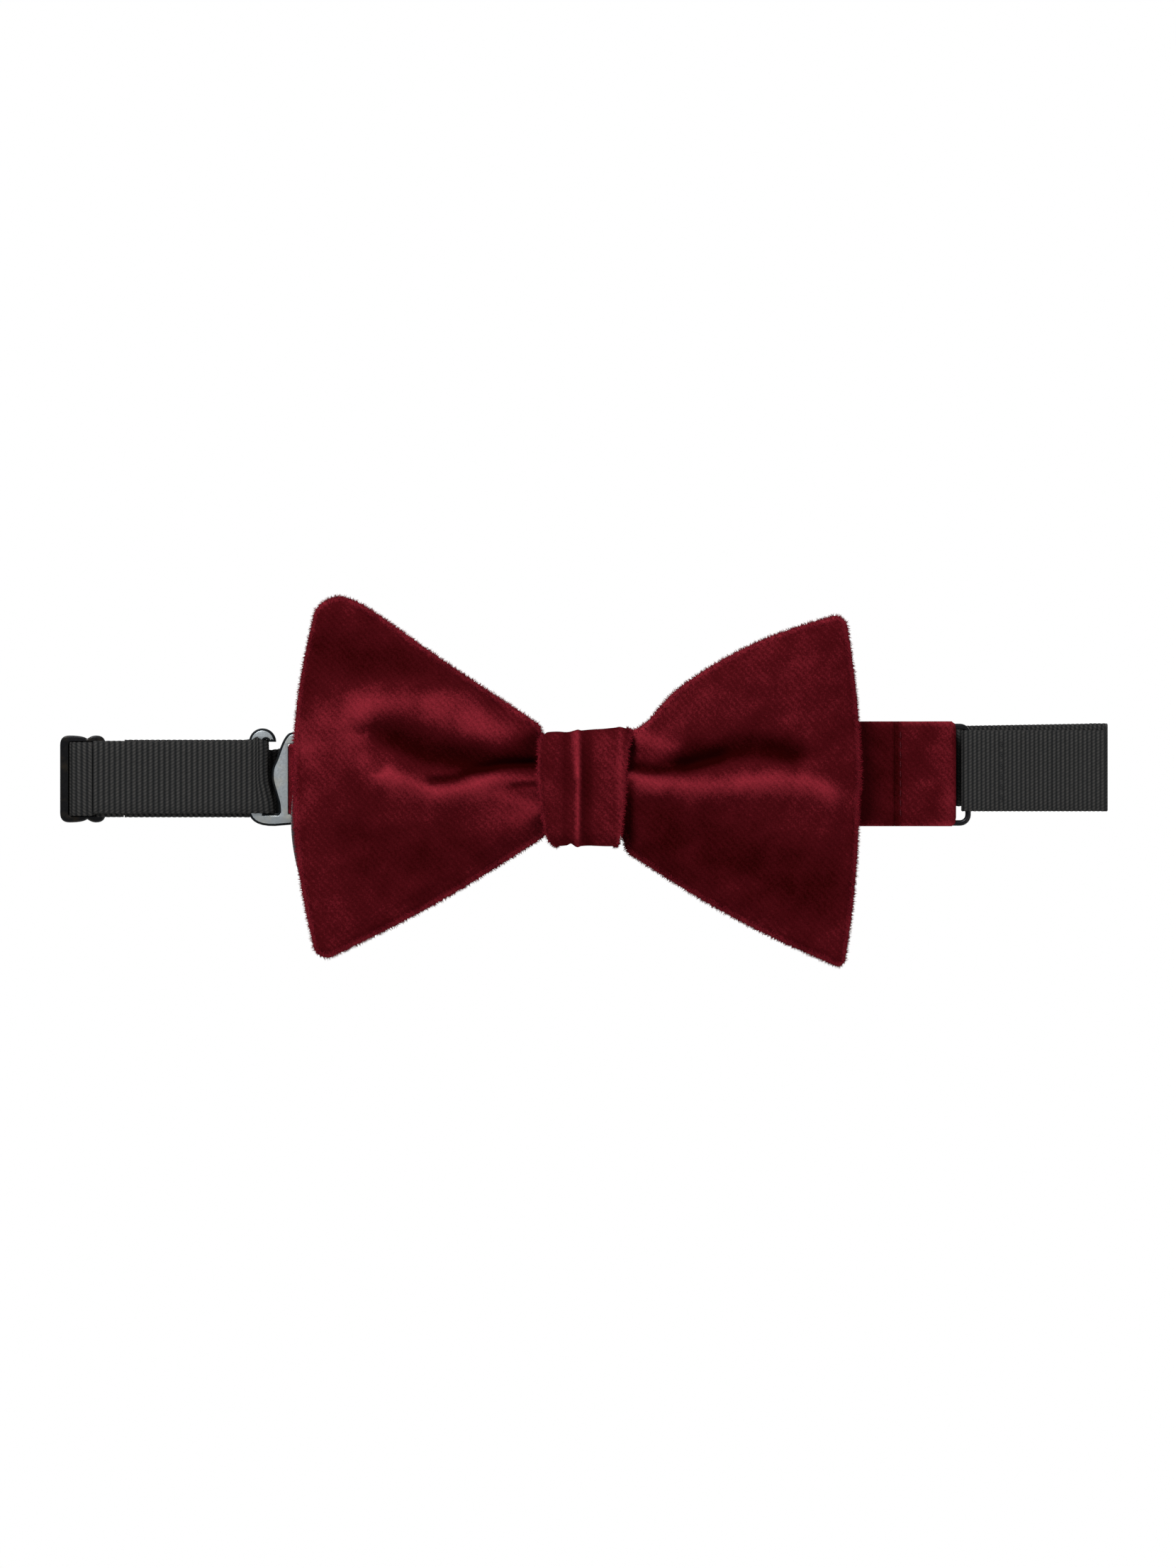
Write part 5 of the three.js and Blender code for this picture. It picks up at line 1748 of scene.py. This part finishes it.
# Each fold's last number paints the pile's light and shade: painted highlight on lit crests and slopes,
# painted shade in hollows and creases.
LEFT_FOLDS = (
    Fold(((-44.9, 13.1), (-34.0, 15.4), (-25, 13.0), (-17.6, 8.6)), 5.0, 1.4, 0.36),
    Fold(((-56, 8.5), (-45, 12)), 4.5, 0.3, 0.14),
    Fold(((-30, 19), (-21, 14.0), (-13, 8)), 4.0, 0.2, -0.14),
    Fold(((-54, 26), (-42, 23), (-34, 20)), 6.0, -0.8, -0.24),
    Fold(((-42.4, 8.4), (-32, 3.8), (-19, 1.6), (-9.9, 1.0)), 4.6, -2.6, -0.46, 0.4),
    Fold(((-31.0, -1.7), (-26.0, -1.0), (-22.5, 0.4), (-18.8, 1.1), (-16.1, 1.8), (-9.2, 2.0)),
         1.0, -1.1, -0.4, 0.6),
    Fold(((-49, 5.0), (-41.0, 0.5)), 3.0, 0.3, 0.14),
    Fold(((-40.0, 0.2), (-38.0, -0.8), (-34.3, -2.2), (-29.5, -3.8), (-24.1, -3.1), (-19.9, -1.5),
          (-16.1, -0.2), (-9.2, 0.0)), 1.5, 1.7, 0.38, 2.0),
    Fold(((-14, -2.6), (-9.4, -2.2)), 0.7, -0.5, -0.25),
    Fold(((-16, -4.7), (-9, -7.4)), 1.6, 0.4, 0.15),
    Fold(((-22, -9), (-10, -9)), 4.0, 0.0, 0.16),
    Fold(((-57, -7), (-56, 5)), 4.5, 0.0, 0.1),
    Fold(((-50, -14), (-35, -18), (-24, -14)), 7.0, -0.7, -0.14),
)
# Each fold's last number paints the pile's light and shade: painted highlight on lit crests and slopes,
# painted shade in hollows and creases.
RIGHT_FOLDS = (
    Fold(((10.0, 1.4), (15.7, 0.5), (23.7, 1.7), (29.1, 3.2)), 1.5, -1.3, -0.42, 0.5),
    Fold(((22.0, 2.0), (29.1, 3.8), (34.4, 4.7), (39.8, 4.4), (44.5, 3.4)), 3.4, -2.2, -0.44, 0.5),
    Fold(((9.7, -1.2), (18.4, -2.4), (26.9, -2.6), (34.4, -1.9), (42.4, -1.6), (47.7, -1.9), (52.0, -3.8)),
         2.1, 1.8, 0.38, 1.5),
    Fold(((10.7, 8.6), (15, 6.8), (19.6, 5.2)), 2.0, 0.5, 0.24),
    Fold(((15, 12), (32, 17), (50, 20)), 7.0, 0.5, 0.06),
    Fold(((18, -11), (32, -17), (48, -24)), 9.0, -0.7, -0.24),
    Fold(((10.3, -2), (9.9, -8), (9.2, -15)), 1.1, -0.8, -0.35),
)


def main() -> None:
    """Builds every part of the tie in turn, then the studio."""
    parts = [
        Wing("left", LEFT_OUTLINE, LEFT_FOLDS, peek=3.2, seed=5),
        Wing("right", RIGHT_OUTLINE, RIGHT_FOLDS, seed=8),
        Knot(),
        Neckband(),
        HookPlate(),
        Slider(),
        Ring(),
        LeftStrap(),
        RightStrap(),
    ]
    for part in parts:
        part.build()
        log.info("built %s", type(part).__name__)
    Studio().build()


if __name__ == "__main__":
    main()
